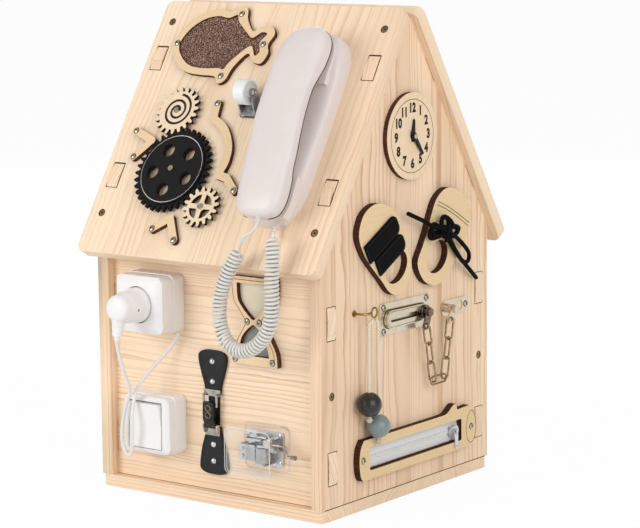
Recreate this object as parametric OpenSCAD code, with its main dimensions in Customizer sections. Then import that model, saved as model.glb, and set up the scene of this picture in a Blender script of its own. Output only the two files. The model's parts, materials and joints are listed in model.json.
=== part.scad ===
// Wooden busy house: a pine box with a gable roof, whose walls and roof carry everyday things
// that a small child can turn, slide, lift, open and click. Millimetres, +Z up.
// X runs along the ridge, the front wall faces -Y, and the origin is under the middle of the base.

/* [House] */
// Length of the house along its ridge, over the two gable panels
house_l = 300; // [290:1:320]
// Width of the gable panels
house_w = 308; // [300:1:325]
// Height of the gable panels' upright edges above the ground
eave_h = 274; // [268:1:290]
// Thickness of the pine boards
board = 14; // [12:0.5:16]
// Thickness of the base board
base_t = 13; // [10:0.5:18]
// Setback of the front and rear walls from the gable panels' edges
wall_inset = 10.5; // [9:0.5:12]
// Slope of the roof
pitch = 58; // [56:0.5:60]
// Horizontal overhang of the roof past the gable panels' upright edges
eave_over = 24; // [20:1:28]
// Overhang of the roof past the gable faces
verge = 10; // [8:1:14]
// Length of a roof panel from its eave to the ridge
panel_l = 306; // [303:1:308]
// Corner radius of the roof panels
roof_r = 9; // [4:1:14]
// Corner radius of the base board
base_r = 7; // [3:1:12]
// Height by which the gable panels' points are cut off below the roof
apex_cut = 12; // [8:1:16]

/* [Tabs] */
// Length of the tabs of the front and rear walls
wall_tab = 34; // [28:1:38]
// Length of the tabs of the gable panels
roof_tab = 28; // [24:1:32]
// Room round a tab in its slot
tab_play = 0.9; // [0.4:0.1:1.5]
// Height by which a tab's crowned end stands proud
tab_crown = 1.6; // [0.5:0.1:2.5]

/* [Screws] */
// Shank of the countersunk carcass screws
carcass_d = 4; // [3:0.5:5]
// Head of the countersunk carcass screws
carcass_head = 8; // [7:0.5:9]
// Length of the carcass screws
carcass_l = 34; // [28:1:38]
// Depth of the carcass screws' heads below the surface
screw_sink = 0.5; // [0.2:0.1:1]
// Shank of the small pan-head screws
screw_d = 3; // [2.5:0.1:3.5]
// Head of the small pan-head screws
screw_head = 6.4; // [5.5:0.1:7]
// Height of a pan head
screw_head_h = 1.9; // [1.5:0.1:2.5]
// Depth that a small screw bites into the board
screw_bite = 9; // [6:0.5:10]
// Room round a screw's shank in its hole
screw_room = 0.1; // [0.05:0.05:0.3]

/* [Fish] */
// Thickness of the fish's plywood outline
fish_t = 5; // [4:0.5:8]
// Thickness of the furry pad inside the fish
fish_pad_t = 3.4; // [2:0.2:3.8]

/* [Gears] */
// Module of the gear teeth
gear_module = 2.6; // [2.4:0.05:2.65]
// Teeth of the large black gear
teeth_big = 36; // [34:1:36]
// Teeth of the spiral gear
teeth_spiral = 20; // [18:1:20]
// Teeth of the spoked gear
teeth_spoked = 16; // [15:1:16]
// Thickness of the toothed layers
gear_t = 4; // [3:0.5:6]
// Thickness of the disc on top of the large gear
disc_t = 2; // [1.5:0.5:4]
// Width of play between two meshing teeth
backlash = 0.5; // [0.4:0.05:0.8]
// Height of the gears above the roof
gear_lift = 3; // [2.5:0.1:4]
// Diameter of the gears' shafts
gear_shaft = 4; // [4:0.2:6]
// Width of the bars round the gears
bar_w = 9; // [8:0.5:10]
// Thickness of the bars round the gears
bar_t = 5; // [4:0.5:6]

/* [Caster] */
// Diameter of the caster's wheel
wheel_d = 27; // [24:0.5:28]
// Width of the caster's wheel
wheel_w = 15; // [12:0.5:16]
// Height of the wheel's axle above the roof
axle_h = 20.5; // [20:0.5:23]
// Distance of the axle from the swivel's axis
caster_trail = 11; // [8:0.5:12]
// Width of the caster's mounting plate
caster_plate_w = 36; // [34:1:38]
// Thickness of the caster's steel
caster_steel = 1.8; // [1.5:0.1:2]

/* [Sockets] */
// Width of the socket's and the switch's boxes
box_w = 65; // [62:1:68]
// Height of the socket's and the switch's boxes
box_l = 63; // [60:1:66]
// Depth of the two back boxes
box_d = 18; // [15:0.5:20]
// Wall of the back boxes
box_wall = 2.5; // [2:0.25:3]
// Depth of the socket cover in front of its back box
socket_d = 21; // [20:0.5:23]
// Radius of the socket's round recess
recess_r = 19.8; // [19.4:0.1:20.4]
// Depth of the socket's round recess
recess_d = 17.5; // [16:0.5:18]
// Depth of the switch cover in front of its back box
switch_d = 12; // [11.5:0.5:14]
// Width of the rocker
rocker_w = 44; // [40:1:46]
// Height of the rocker
rocker_l = 49; // [46:1:50]
// Angle by which the rocker leans to either side
rocker_lean = 4; // [3:0.5:5]
// Radius of the plug's body where it enters the socket
plug_r = 18.8; // [17.5:0.1:19]
// Radius of the plug's rounded end
plug_end_r = 15.5; // [13:0.5:17]
// Length of the plug's body
plug_l = 54; // [48:1:58]
// Length of the plug's strain relief
relief_l = 34; // [26:1:38]
// Diameter of the plug's pins
pin_d = 4.8; // [4:0.1:5]
// Length of the plug's pins
pin_l = 19; // [16:0.5:19]

/* [Hourglass] */
// Thickness of the hourglass's plywood
hourglass_t = 7; // [5:0.5:9]
// Thickness of the pane in the hourglass
pane_t = 1.5; // [1:0.1:2.5]

/* [Strap] */
// Thickness of the leather strap
leather_t = 4; // [3:0.5:5]
// Width of the strap at the clasp
strap_w = 19.6; // [18:0.2:22]
// Diameter of the clasp's wires
clasp_wire = 2.6; // [2.2:0.1:3]

/* [Music box] */
// Width of the clear case
case_w = 60; // [58:1:64]
// Height of the clear case
case_l = 50; // [48:1:54]
// Depth of the clear case
case_d = 35; // [32:1:38]
// Wall of the clear case
case_wall = 2; // [1.6:0.1:2.4]
// Radius of the pinned cylinder
drum_r = 6.8; // [6:0.1:7]
// Length of the pinned cylinder
drum_l = 16; // [14:0.5:16.5]
// Diameter of the crank's wire
crank_d = 2.6; // [2.2:0.1:3]
// Throw of the crank
crank_throw = 10; // [9:0.5:12]

/* [Clock] */
// Radius of the clock's face
clock_r = 46; // [42:1:48]
// Thickness of the clock's face
clock_t = 5.5; // [4:0.5:8]
// Length of the hour hand
hour_l = 18; // [15:1:22]
// Length of the minute hand
minute_l = 26; // [23:1:30]
// Thickness of a clock hand
hand_t = 1.2; // [1:0.1:1.5]

/* [Shoes] */
// Thickness of the shoes' plywood
shoe_t = 8; // [6:0.5:10]
// Thickness of the touch-and-close straps
velcro_t = 3; // [2:0.2:4]
// Diameter of the shoelace
lace_d = 4.6; // [3:0.2:5]

/* [Zipper] */
// Thickness of the zipper's plywood frame
zipper_t = 8; // [6:0.5:9]
// Length of the window in the zipper's frame
window_l = 172; // [165:1:175]
// Height of the window in the zipper's frame
window_h = 24; // [22:0.5:26]
// Thickness of the zipper's tape
tape_t = 1.4; // [1:0.1:1.6]

/* [Beads] */
// Diameter of the black bead
bead_black_d = 26; // [23:0.2:27]
// Diameter of the grey bead
bead_grey_d = 25; // [23:0.2:26]
// Diameter of the beads' string
string_d = 3.6; // [2.4:0.1:4]

/* [Door chain] */
// Thickness of the chain's two plates
plate_t = 2; // [1.5:0.1:2.5]
// Height of the raised track above the plate
track_h = 4.4; // [4:0.1:5]
// Diameter of the chain's wire
link_wire = 2.2; // [2:0.1:2.4]
// Outer width of a chain link
link_w = 10.8; // [10.4:0.1:11.2]
// Length of a chain link between the wires that it holds
link_pitch = 21.3; // [20:0.1:22.5]

/* [Phone] */
// Height of the gap between the handset's ends and the cradle
phone_gap = 0.3; // [0.2:0.1:0.6]
// Outer diameter of the curly cord
curl_d = 16; // [14:0.5:16]
// Diameter of the curly cord's straight ends
lead_d = 4; // [3:0.25:4.5]
// Diameter of the plug's cord
cord_d = 4; // [3.2:0.2:4.4]

/* [Hidden] */
$fn = 48;
eps = 0.01;

// ---- Colours ----
pine = "#e3c091";
ply = "#e9cfa2";
steel = "#b8b9bd";
black = "#1d1b1e";
white = "#f1eff0";
brass = "#b39c6b";

// ---- Carcass geometry ----
gable_x = house_l / 2;
gable_in = gable_x - board;
gable_half = house_w / 2;
front_y = -(gable_half - wall_inset);
front_in = front_y + board;
apex_z = eave_h + gable_half * tan(pitch);
eave_y = -(gable_half + eave_over);
eave_z = eave_h + board / cos(pitch) - eave_over * tan(pitch);
roof_l = house_l + 2 * verge;
edge_x = gable_x - board / 2;
wall_tab_z = [55, eave_h - 68];
roof_tab_v = [91, 234];

// ---- Module places: [x, z] on the front wall, [y, z] on the gable, [x, v] up the roof ----
socket_at = [-70.5, eave_h - 62.5];
switch_at = [-70.5, 80.5];
hourglass_at = [60, eave_h - 74];
strap_x = 1.5;
case_at = [71, 69];
clock_at = [2, eave_h + 112];
zipper_at = [4.5, 55.5];
zip_left = zipper_at.x - window_l / 2;
zip_right = zipper_at.x + window_l / 2;
plate_at = [-7.5, eave_h - 77];
keeper_at = [86.5, eave_h - 81.6];
gear_big_at = [-62, 100];
caster_at = [10, 178];
hook_at = [-97, eave_h - 63];

// ---- Frames of the three faces that carry things; h points out of the face ----
module on_front(p = [0, 0], h = 0)
    translate([p.x, front_y, p.y]) rotate([90, 0, 0]) translate([0, 0, h]) children();

module on_gable(p = [0, 0], h = 0)
    translate([gable_x, p.x, p.y]) rotate([90, 0, 90]) translate([0, 0, h]) children();

module on_roof(p = [0, 0], h = 0)
    translate([0, eave_y, eave_z]) rotate([pitch, 0, 0]) translate([p.x, p.y, h]) children();

// ---- Points and curves ----
function polar(r, a) = r * [cos(a), sin(a)];
function unit(v) = v / norm(v);
function reversed(list) = [for (i = [len(list) - 1 : -1 : 0]) list[i]];
function blend_at(a, b, c, d, t) =
    0.5 * (2 * b + (c - a) * t + (2 * a - 5 * b + 4 * c - d) * t * t
        + (3 * b - a - 3 * c + d) * t * t * t);
// Smooth open curve through points of any dimension
function curve(p, steps = 6) = concat(
    [for (i = [0 : len(p) - 2], s = [0 : steps - 1])
        blend_at(p[max(i - 1, 0)], p[i], p[i + 1], p[min(i + 2, len(p) - 1)], s / steps)],
    [p[len(p) - 1]]);
// Smooth closed curve through points
function loop_curve(p, steps = 6) = let (n = len(p))
    [for (i = [0 : n - 1], s = [0 : steps - 1])
        blend_at(p[(i + n - 1) % n], p[i], p[(i + 1) % n], p[(i + 2) % n], s / steps)];
function ellipse(c, a, b, turn = 0, n = 40) = [for (i = [0 : n - 1])
    let (q = [a * cos(360 * i / n), b * sin(360 * i / n)])
        c + [q.x * cos(turn) - q.y * sin(turn), q.x * sin(turn) + q.y * cos(turn)]];

// ---- Flat shapes ----
module rounded(w, l, r) {
    square([w - 2 * r, l], center = true);
    square([w, l - 2 * r], center = true);
    for (sx = [-1, 1], sy = [-1, 1]) translate([sx * (w / 2 - r), sy * (l / 2 - r)]) circle(r);
}

module bar2d(a, b, w) {
    d = b - a;
    translate(a) rotate(atan2(d.y, d.x)) {
        translate([0, -w / 2]) square([norm(d), w]);
        circle(d = w);
        translate([norm(d), 0]) circle(d = w);
    }
}

module path2d(points, w)
    for (i = [0 : len(points) - 2]) bar2d(points[i], points[i + 1], w);

module taper2d(a, ra, b, rb) {
    d = b - a;
    lean = acos((ra - rb) / norm(d));
    translate(a) rotate(atan2(d.y, d.x)) polygon(concat(
        [for (i = [0 : arc_n]) polar(ra, lean + (360 - 2 * lean) * i / arc_n)],
        [for (i = [0 : arc_n]) [norm(d), 0] + polar(rb, -lean + 2 * lean * i / arc_n)]));
}
arc_n = 20;

// A shape given by its right half's edge, mirrored about x = 0
module mirrored(half) polygon(concat(half, [for (p = reversed(half)) [-p.x, p.y]]));

// ---- Solid helpers ----
module rod(a, b, d) {
    v = b - a;
    translate(a) rotate([0, acos(v.z / norm(v)), atan2(v.y, v.x)]) cylinder(h = norm(v), d = d);
}

// Round wire through points, with ball corners
module wire(points, d) {
    for (i = [0 : len(points) - 2]) rod(points[i], points[i + 1], d);
    for (i = [1 : len(points) - 2]) translate(points[i]) sphere(d = 1.08 * d);
}

function ring_at(c, dir, r, sides, side_axis) =
    let (u = unit(cross(dir, side_axis)), w = cross(u, dir))
        [for (k = [0 : sides - 1]) c + r * (cos(360 * k / sides) * u + sin(360 * k / sides) * w)];
function skin(rings, n) = concat(
    [[for (k = [n - 1 : -1 : 0]) k]],
    [for (i = [0 : rings - 2], k = [0 : n - 1]) let (a = i * n + k, b = i * n + (k + 1) % n)
        each [[a, b, b + n], [a, b + n, a + n]]],
    [[for (k = [0 : n - 1]) (rings - 1) * n + k]]);

// Tube of constant radius along a route
module tube(route, r, sides, side_axis) {
    last = len(route) - 1;
    rings = [for (i = [0 : last])
        ring_at(route[i], unit(route[min(i + 1, last)] - route[max(i - 1, 0)]), r, sides, side_axis)];
    polyhedron([for (ring = rings) each ring], skin(len(rings), sides), convexity = 6);
}

// ---- Screws ----
// Countersunk screw sunk below h = 0 and pointing to -h; with room, the hole that it sits in
module sunk_screw(room = 0) {
    head = carcass_head / 2 + room;
    depth = (carcass_head - carcass_d) / 2;
    translate([0, 0, -screw_sink]) {
        translate([0, 0, -depth]) cylinder(h = depth, r1 = carcass_d / 2 + room, r2 = head);
        translate([0, 0, -carcass_l - room]) cylinder(h = carcass_l, r = carcass_d / 2 + room);
        if (room > 0) translate([0, 0, -eps]) cylinder(h = screw_sink + 1, r = head);
    }
}

// Pan-head screw seated at height seat, its shank in the board below
module pan_screw(seat) {
    translate([0, 0, -screw_bite]) cylinder(h = screw_bite + seat + eps, d = screw_d);
    translate([0, 0, seat]) intersection() {
        cylinder(h = screw_head_h, d = screw_head);
        translate([0, 0, screw_head_h - screw_head * 0.8]) sphere(screw_head * 0.8);
    }
}

module screw_hole(depth = screw_bite + 0.5, above = 20)
    translate([0, 0, -depth]) cylinder(h = depth + above, d = screw_d + 2 * screw_room);

// ---- Screw places: [u, v, seat height] ----
fish_screws = [[-120.6, 251.3, fish_t], [-45.9, 289.5, fish_t], [-44.5, 214.1, fish_t],
    [-2.5, 254, fish_t]];
bar_screws = [[-132.4, 143.1, bar_t], [-123.5, 112.5, bar_t], [-62.5, 31.6, bar_t],
    [-28.5, 21.2, bar_t], [-35.3, 181.5, bar_t], [26.6, 82.7, bar_t]];
caster_screws = [for (sx = [-1, 1], sv = [-1, 1])
    [caster_at.x + 5 + sx * (caster_plate_w / 2 - 4.5), caster_at.y + 5 + sv * 11, caster_steel]];
hourglass_screws = [[hourglass_at.x - 8, hourglass_at.y + 1, hourglass_t],
    [hourglass_at.x + 8, hourglass_at.y + 1, hourglass_t],
    [hourglass_at.x - 24.5, hourglass_at.y - 39.5, hourglass_t],
    [hourglass_at.x + 24.5, hourglass_at.y - 39.5, hourglass_t]];
plate_screws = [for (sy = [-1, 1], sz = [-1, 1])
    [plate_at.x + sy * 39.5, plate_at.y + sz * 12.8, plate_t]];
keeper_screws = [[keeper_at.x + 21, keeper_at.y, plate_t]];
zipper_screws = [[zip_left - 11.5, zipper_at.y + 0.5, zipper_t], [zip_right + 19, zipper_at.y, zipper_t]];
roof_screws = concat(fish_screws, bar_screws, caster_screws);
front_screws = hourglass_screws;
gable_screws = concat(plate_screws, keeper_screws, zipper_screws, [[clock_at.x, clock_at.y, 0]]);

// Carcass screws: up the roof's edges, through the gables into the walls, and up through the base
wall_y = front_y + board / 2;
roof_screw_v = [46, 279.5];
wall_screw_z = (wall_tab_z[0] + wall_tab_z[1]) / 2;
base_screw_x = [-75, 75];
base_screw_y = [-100, 0, 100];

module on_gable_ends() for (end = [0, 1], side = [0, 1])
    mirror([end, 0, 0]) mirror([0, side, 0]) translate([gable_x, wall_y, wall_screw_z])
        rotate([0, 90, 0]) children();

module under_walls() for (x = base_screw_x, side = [-1, 1])
    translate([x, side * wall_y, 0]) rotate([180, 0, 0]) children();

module under_gables() for (end = [-1, 1], y = base_screw_y)
    translate([end * edge_x, y, 0]) rotate([180, 0, 0]) children();

// ---- House boards ----
// Tab with a crowned end, standing on h = 0; reaching down into its own board
module tab(length, depth, thick) {
    crown_r = (length * length / 4 + tab_crown * tab_crown) / (2 * tab_crown);
    rotate([90, 0, 90]) translate([0, 0, -thick / 2]) linear_extrude(thick) {
        translate([-length / 2, -depth]) square([length, depth + eps]);
        intersection() {
            translate([-length / 2, 0]) square([length, tab_crown]);
            translate([0, tab_crown - crown_r]) circle(crown_r, $fn = 160);
        }
    }
}

module base_board() color(pine) difference() {
    linear_extrude(base_t) rounded(house_l, house_w, base_r);
    under_gables() sunk_screw(screw_room);
    under_walls() sunk_screw(screw_room);
}

module wall_blank() {
    top_out = apex_z + front_y * tan(pitch);
    top_in = apex_z + front_in * tan(pitch);
    rotate([90, 0, 90]) translate([0, 0, -gable_in]) linear_extrude(2 * gable_in)
        polygon([[front_y, base_t], [front_in, base_t], [front_in, top_in], [front_y, top_out]]);
    for (side = [0, 1], z = wall_tab_z) mirror([side, 0, 0])
        translate([gable_x, wall_y, z]) rotate([0, 90, 0])
            rotate(90) tab(wall_tab, board + 1, board);
}

module front_wall() color(pine) difference() {
    wall_blank();
    under_walls() sunk_screw(screw_room);
    on_gable_ends() sunk_screw(screw_room);
    for (s = front_screws) on_front([s.x, s.y]) screw_hole();
}

module rear_wall() color(pine) difference() {
    mirror([0, 1, 0]) wall_blank();
    under_walls() sunk_screw(screw_room);
    on_gable_ends() sunk_screw(screw_room);
}

// Gable panel at +X, without the holes of its modules
module gable_blank() {
    cut_y = apex_cut / tan(pitch);
    difference() {
        union() {
            rotate([90, 0, 90]) translate([0, 0, gable_in]) linear_extrude(board) polygon([
                [-gable_half, base_t], [gable_half, base_t], [gable_half, eave_h],
                [cut_y, apex_z - apex_cut], [-cut_y, apex_z - apex_cut], [-gable_half, eave_h]]);
            for (side = [0, 1], v = roof_tab_v) mirror([0, side, 0]) on_roof([edge_x, v])
                tab(roof_tab, board + 6, board);
        }
        for (side = [0, 1], z = wall_tab_z) mirror([0, side, 0])
            translate([edge_x, wall_y, z])
                cube([board + 1, board + 2 * tab_play, wall_tab + 2 * tab_play], center = true);
        under_gables() sunk_screw(screw_room);
        for (side = [0, 1], v = roof_screw_v) mirror([0, side, 0]) on_roof([edge_x, v])
            sunk_screw(screw_room);
        on_gable_ends() sunk_screw(screw_room);
    }
}
module gable_right() color(pine) difference() {
    gable_blank();
    for (s = gable_screws) on_gable([s.x, s.y]) screw_hole();
    on_gable(hook_at) translate([0, 0, -hook_bite - 0.5])
        cylinder(h = hook_bite + 1, d = hook_d + 2 * screw_room);
}

module gable_left() color(pine) mirror([1, 0, 0]) gable_blank();

module roof_blank() on_roof() difference() {
    translate([0, panel_l / 2, -board]) linear_extrude(board) rounded(roof_l, panel_l, roof_r);
    for (side = [-1, 1], v = roof_tab_v) translate([side * edge_x, v, -board / 2])
        cube([board + 2 * tab_play, roof_tab + 2 * tab_play, board + 1], center = true);
    for (side = [-1, 1], v = roof_screw_v) translate([side * edge_x, v, 0]) sunk_screw(screw_room);
}

module roof_front() color(pine) difference() {
    roof_blank();
    on_roof() for (s = roof_screws) translate([s.x, s.y, 0]) screw_hole();
    on_roof() for (c = gear_centres) translate([c.x, c.y, 0]) screw_hole();
}

module roof_rear() color(pine) mirror([0, 1, 0]) roof_blank();

module carcass_screws() color(steel) {
    for (side = [0, 1], end = [0, 1]) mirror([0, side, 0]) mirror([end, 0, 0]) {
        for (v = roof_screw_v) on_roof([edge_x, v]) sunk_screw();
    }
    on_gable_ends() sunk_screw();
    under_gables() sunk_screw();
    under_walls() sunk_screw();
}

module module_screws() color(steel) {
    on_roof() for (s = roof_screws) translate([s.x, s.y, 0]) pan_screw(s.z);
    for (s = front_screws) on_front([s.x, s.y]) pan_screw(s.z);
    for (s = concat(plate_screws, keeper_screws, zipper_screws)) on_gable([s.x, s.y]) pan_screw(s.z);
    on_roof() for (i = [0 : 2]) translate([gear_centres[i].x, gear_centres[i].y, 0])
        shoulder_screw(gear_tops[i]);
    on_gable(clock_at) clock_screw();
}

// ---- Fish ----
fish_outer = [[-126, 250], [-118, 272], [-101, 287], [-78, 294], [-60, 292], [-49, 298],
    [-40, 296], [-35, 283], [-22, 269], [-12, 275], [0, 276], [8, 267], [4, 254], [8, 243],
    [3, 231], [-9, 233], [-19, 242], [-32, 225], [-37, 209], [-46, 205], [-53, 213], [-72, 214],
    [-95, 217], [-115, 230]];
fish_inner = [[-117, 250], [-110, 268], [-95, 281], [-77, 286], [-62, 284], [-51, 288],
    [-46, 280], [-30, 267], [-20, 261], [-10, 268], [-2, 266], [-8, 256], [-4, 245], [-9, 240],
    [-17, 251], [-26, 246], [-40, 230], [-44, 222], [-52, 223], [-73, 222], [-93, 225],
    [-109, 236]];

module fish_frame() color(ply) on_roof() difference() {
    linear_extrude(fish_t) difference() {
        polygon(loop_curve(fish_outer, 5));
        polygon(loop_curve(fish_inner, 5));
    }
    for (s = fish_screws) translate([s.x, s.y, 0]) screw_hole();
}

module fish_pad() color("#7d5348") on_roof() linear_extrude(fish_pad_t)
    polygon(loop_curve(fish_inner, 5));

// ---- Gears ----
pressure = 20;
function pitch_r(teeth) = gear_module * teeth / 2;
mesh_spiral = pitch_r(teeth_big) + pitch_r(teeth_spiral);
mesh_spoked = pitch_r(teeth_big) + pitch_r(teeth_spoked);
dir_spiral = 108.3;
dir_spoked = -35.6;
gear_centres = [gear_big_at, gear_big_at + polar(mesh_spiral, dir_spiral),
    gear_big_at + polar(mesh_spoked, dir_spoked)];
gear_tops = [gear_lift + gear_t + disc_t, gear_lift + gear_t, gear_lift + gear_t];
// Phase of the gear that meshes with the big gear, whose tooth points along dir_spiral
function mesh_phase(dir, teeth) =
    dir + 180 + 180 / teeth - (dir_spiral - dir) * teeth_big / teeth;
function involute(r, base) = let (t = sqrt(max(0, r * r / (base * base) - 1))) t * 180 / PI - atan(t);

module gear2d(teeth, phase) {
    rp = pitch_r(teeth);
    base = rp * cos(pressure);
    tip = rp + 0.9 * gear_module;
    root = rp - 1.15 * gear_module;
    half_at_pitch = 90 / teeth - backlash / (4 * rp) * 180 / PI;
    radii = [root, max(base, root + 0.4), rp - 0.3 * gear_module, rp + 0.3 * gear_module, tip];
    half = [for (r = radii) half_at_pitch + involute(rp, base) - involute(r, base)];
    polygon([for (i = [0 : teeth - 1]) let (mid = phase + 360 * i / teeth) each concat(
        [for (k = [0 : 4]) polar(radii[k], mid - half[k])],
        [for (k = [4 : -1 : 0]) polar(radii[k], mid + half[k])])]);
}

shaft_room = 0.1;
module gear_layer(teeth, phase) linear_extrude(gear_t) difference() {
    gear2d(teeth, phase);
    circle(d = gear_shaft + 2 * shaft_room);
}

disc_r = pitch_r(teeth_big) - 5.3;
module gear_big() color(black) on_roof(gear_big_at, gear_lift) difference() {
    union() {
        gear_layer(teeth_big, dir_spiral);
        translate([0, 0, gear_t]) cylinder(h = disc_t, r = disc_r, $fn = 96);
    }
    translate([0, 0, -1]) cylinder(h = 20, d = gear_shaft + 2 * shaft_room);
    for (k = [0 : 4]) rotate(48.5 + 72 * k) translate([24.5, 0, -1]) cylinder(h = 20, d = 15);
    translate([0, 0, gear_t + disc_t - 0.5]) linear_extrude(1) difference() {
        circle(disc_r - 2, $fn = 96);
        circle(disc_r - 2.9, $fn = 96);
    }
}

// Spiral groove that winds outwards over two turns and a quarter
groove_turn = 810;
groove_w = 1.7;
function groove_r(a) = 3.4 + 15.6 * a / groove_turn;
module gear_spiral() color(ply) on_roof(gear_centres[1], gear_lift) difference() {
    gear_layer(teeth_spiral, mesh_phase(dir_spiral, teeth_spiral));
    translate([0, 0, gear_t - 0.6]) linear_extrude(1) polygon(concat(
        [for (a = [0 : 15 : groove_turn]) polar(groove_r(a) + groove_w / 2, a)],
        [for (a = [groove_turn : -15 : 0]) polar(groove_r(a) - groove_w / 2, a)]));
}

module gear_spoked() color(ply) on_roof(gear_centres[2], gear_lift) difference() {
    gear_layer(teeth_spoked, mesh_phase(dir_spoked, teeth_spoked));
    for (k = [0 : 3]) rotate(45 + 90 * k) translate([0, 0, -1]) linear_extrude(gear_t + 2)
        intersection() {
            difference() {
                circle(14.2);
                circle(5.8);
            }
            polygon([[4, 0], [18, 14], [18, -14]]);
        }
}

// Shoulder screw on which a gear turns: spacer, shaft, head and thread
module shoulder_screw(top) {
    translate([0, 0, -screw_bite]) cylinder(h = screw_bite + eps, d = screw_d);
    cylinder(h = gear_lift - 0.3, d = gear_shaft + 4);
    cylinder(h = top + 0.3, d = gear_shaft);
    translate([0, 0, top + 0.3]) cylinder(h = 1.6, d = gear_shaft + 2.4);
}

module gear_brackets() color(ply) on_roof() difference() {
    linear_extrude(bar_t) {
        path2d([[-132.4, 143.1], [-106, 132.7], [-123.5, 112.5]], bar_w);
        path2d([[-62.5, 31.6], [-43, 45], [-28.5, 21.2]], bar_w);
        path2d(concat([[-35.3, 181.5]],
            curve([[-33, 163], [-14, 152], [0, 132], [3, 113], [-1, 99]], 4), [[12, 96]],
            [[26.6, 82.7]]), bar_w);
    }
    for (s = bar_screws) translate([s.x, s.y, 0]) screw_hole();
}

// ---- Caster ----
bearing_h = 2.2;
cheek_x = wheel_w / 2 + 1.2;
module caster_plate() color(steel) on_roof(caster_at) difference() {
    union() {
        translate([5, 5, 0]) linear_extrude(caster_steel) rounded(caster_plate_w, 30, 3);
        cylinder(h = caster_steel + bearing_h - 0.3, d = 13);
        cylinder(h = caster_steel + bearing_h + 3.4, d = 6);
        translate([0, 0, caster_steel + bearing_h + caster_steel + 0.3]) cylinder(h = 1.2, d = 9);
    }
    for (s = caster_screws) translate([s.x - caster_at.x, s.y - caster_at.y, 0]) screw_hole();
}

module caster_fork() color(steel) on_roof(caster_at) {
    bridge_h = caster_steel + bearing_h;
    difference() {
        union() {
            translate([0, 0, bridge_h]) linear_extrude(caster_steel)
                rounded(2 * cheek_x + 2 * caster_steel, 18, 2);
            for (side = [-1, 1]) translate([side * (cheek_x + caster_steel / 2), 0, bridge_h])
                rotate([90, 0, 90]) translate([0, 0, -caster_steel / 2]) linear_extrude(caster_steel)
                    {
                        taper2d([caster_trail, axle_h - bridge_h], 4.5, [0, 4], 4);
                        translate([-9, 0]) square([18, caster_steel]);
                        polygon([[-9, 0], [9, 0], [caster_trail + 3.5, axle_h - bridge_h - 3],
                            [caster_trail - 4, axle_h - bridge_h]]);
                    }
        }
        cylinder(h = 30, d = 6.4);
        translate([0, 0, bridge_h + caster_steel]) cylinder(h = 5, d = 9.6);
    }
    translate([-cheek_x - caster_steel - 0.8, caster_trail, axle_h]) rotate([0, 90, 0])
        cylinder(h = 2 * cheek_x + 2 * caster_steel + 6, d = 5);
    translate([cheek_x + caster_steel, caster_trail, axle_h]) rotate([0, 90, 0])
        cylinder(h = 3.4, d = 8.5, $fn = 6);
    translate([-cheek_x - caster_steel - 1.6, caster_trail, axle_h]) rotate([0, 90, 0])
        cylinder(h = 1.6, d = 8);
}

module caster_wheel() color(white) on_roof([caster_at.x, caster_at.y + caster_trail], axle_h)
    rotate([0, 90, 0]) rotate_extrude($fn = 64) polygon(concat(
        [[2.6, -wheel_w / 2 - 0.6], [5, -wheel_w / 2 - 0.6], [5, -wheel_w / 2 + 1]],
        [[wheel_d / 2 - 3, -wheel_w / 2 + 1], [wheel_d / 2 - 3, -wheel_w / 2],
            [wheel_d / 2 - 1.2, -wheel_w / 2], [wheel_d / 2, -wheel_w / 2 + 1.2]],
        [[wheel_d / 2, wheel_w / 2 - 1.2], [wheel_d / 2 - 1.2, wheel_w / 2],
            [wheel_d / 2 - 3, wheel_w / 2], [wheel_d / 2 - 3, wheel_w / 2 - 1]],
        [[5, wheel_w / 2 - 1], [5, wheel_w / 2 + 0.6], [2.6, wheel_w / 2 + 0.6]]));

// ---- Phone ----
cradle_h = 24;
// Rows of the base: [v, middle x, half width, underside, top]
base_rows = [[46, 84, 7, 0, 8], [48.5, 84, 17, 0, 15.5], [54, 84, 24, 0, 21],
    [66, 84, 30, 0, cradle_h - 0.3], [84, 84, 35, 0, cradle_h - 0.5], [105, 84, 35.5, 0, 20],
    [163, 84, 35.5, 0, 19], [207, 84, 34.5, 0, 20], [228, 84, 34, 0, cradle_h - 0.5],
    [246, 84, 29, 0, cradle_h - 0.4], [258, 84, 21, 0, 19], [264, 84, 12, 0, 13], [266, 84, 5, 0, 7]];
// Rows of the handset; its arch leaves a finger gap over the base
rest_h = cradle_h + phone_gap;
handset_rows = [[42, 93.5, 8, 33, 40], [44, 93.5, 17, 28.5, 44], [50, 94, 24.5, rest_h + 1, 47.5],
    [64, 94, 28, rest_h, 50.5], [84, 92.3, 28.5, rest_h + 0.4, 52], [98, 91, 28.5, 29, 52.6],
    [116, 90, 29, 32.5, 53], [150, 85.8, 28.5, 34, 53.5], [184, 83.6, 27.8, 33.5, 53],
    [202, 83.4, 28.6, 30, 52.5], [217, 82.2, 29.4, rest_h + 0.4, 51.8], [237, 83.4, 27.6, rest_h, 49.5],
    [250, 84, 22, rest_h + 1, 46], [256.5, 84.2, 14, 28.5, 42.5], [258.5, 84.2, 6.5, 33, 38.5]];

// Closed oval section with flattened sides
function oval(row, n, power) = [for (k = [0 : n - 1]) let (a = 360 * k / n, c = cos(a), s = sin(a))
    [row[1] + row[2] * sign(c) * pow(abs(c), power), row[0],
        (row[3] + row[4]) / 2 + (row[4] - row[3]) / 2 * sign(s) * pow(abs(s), power)]];
// Section with a flat underside
function dome(row, n, power) = [for (k = [0 : n - 1]) let (a = 180 * k / (n - 1), c = cos(a))
    [row[1] + row[2] * sign(c) * pow(abs(c), power), row[0],
        row[3] + (row[4] - row[3]) * pow(max(0, sin(a)), power)]];

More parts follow.
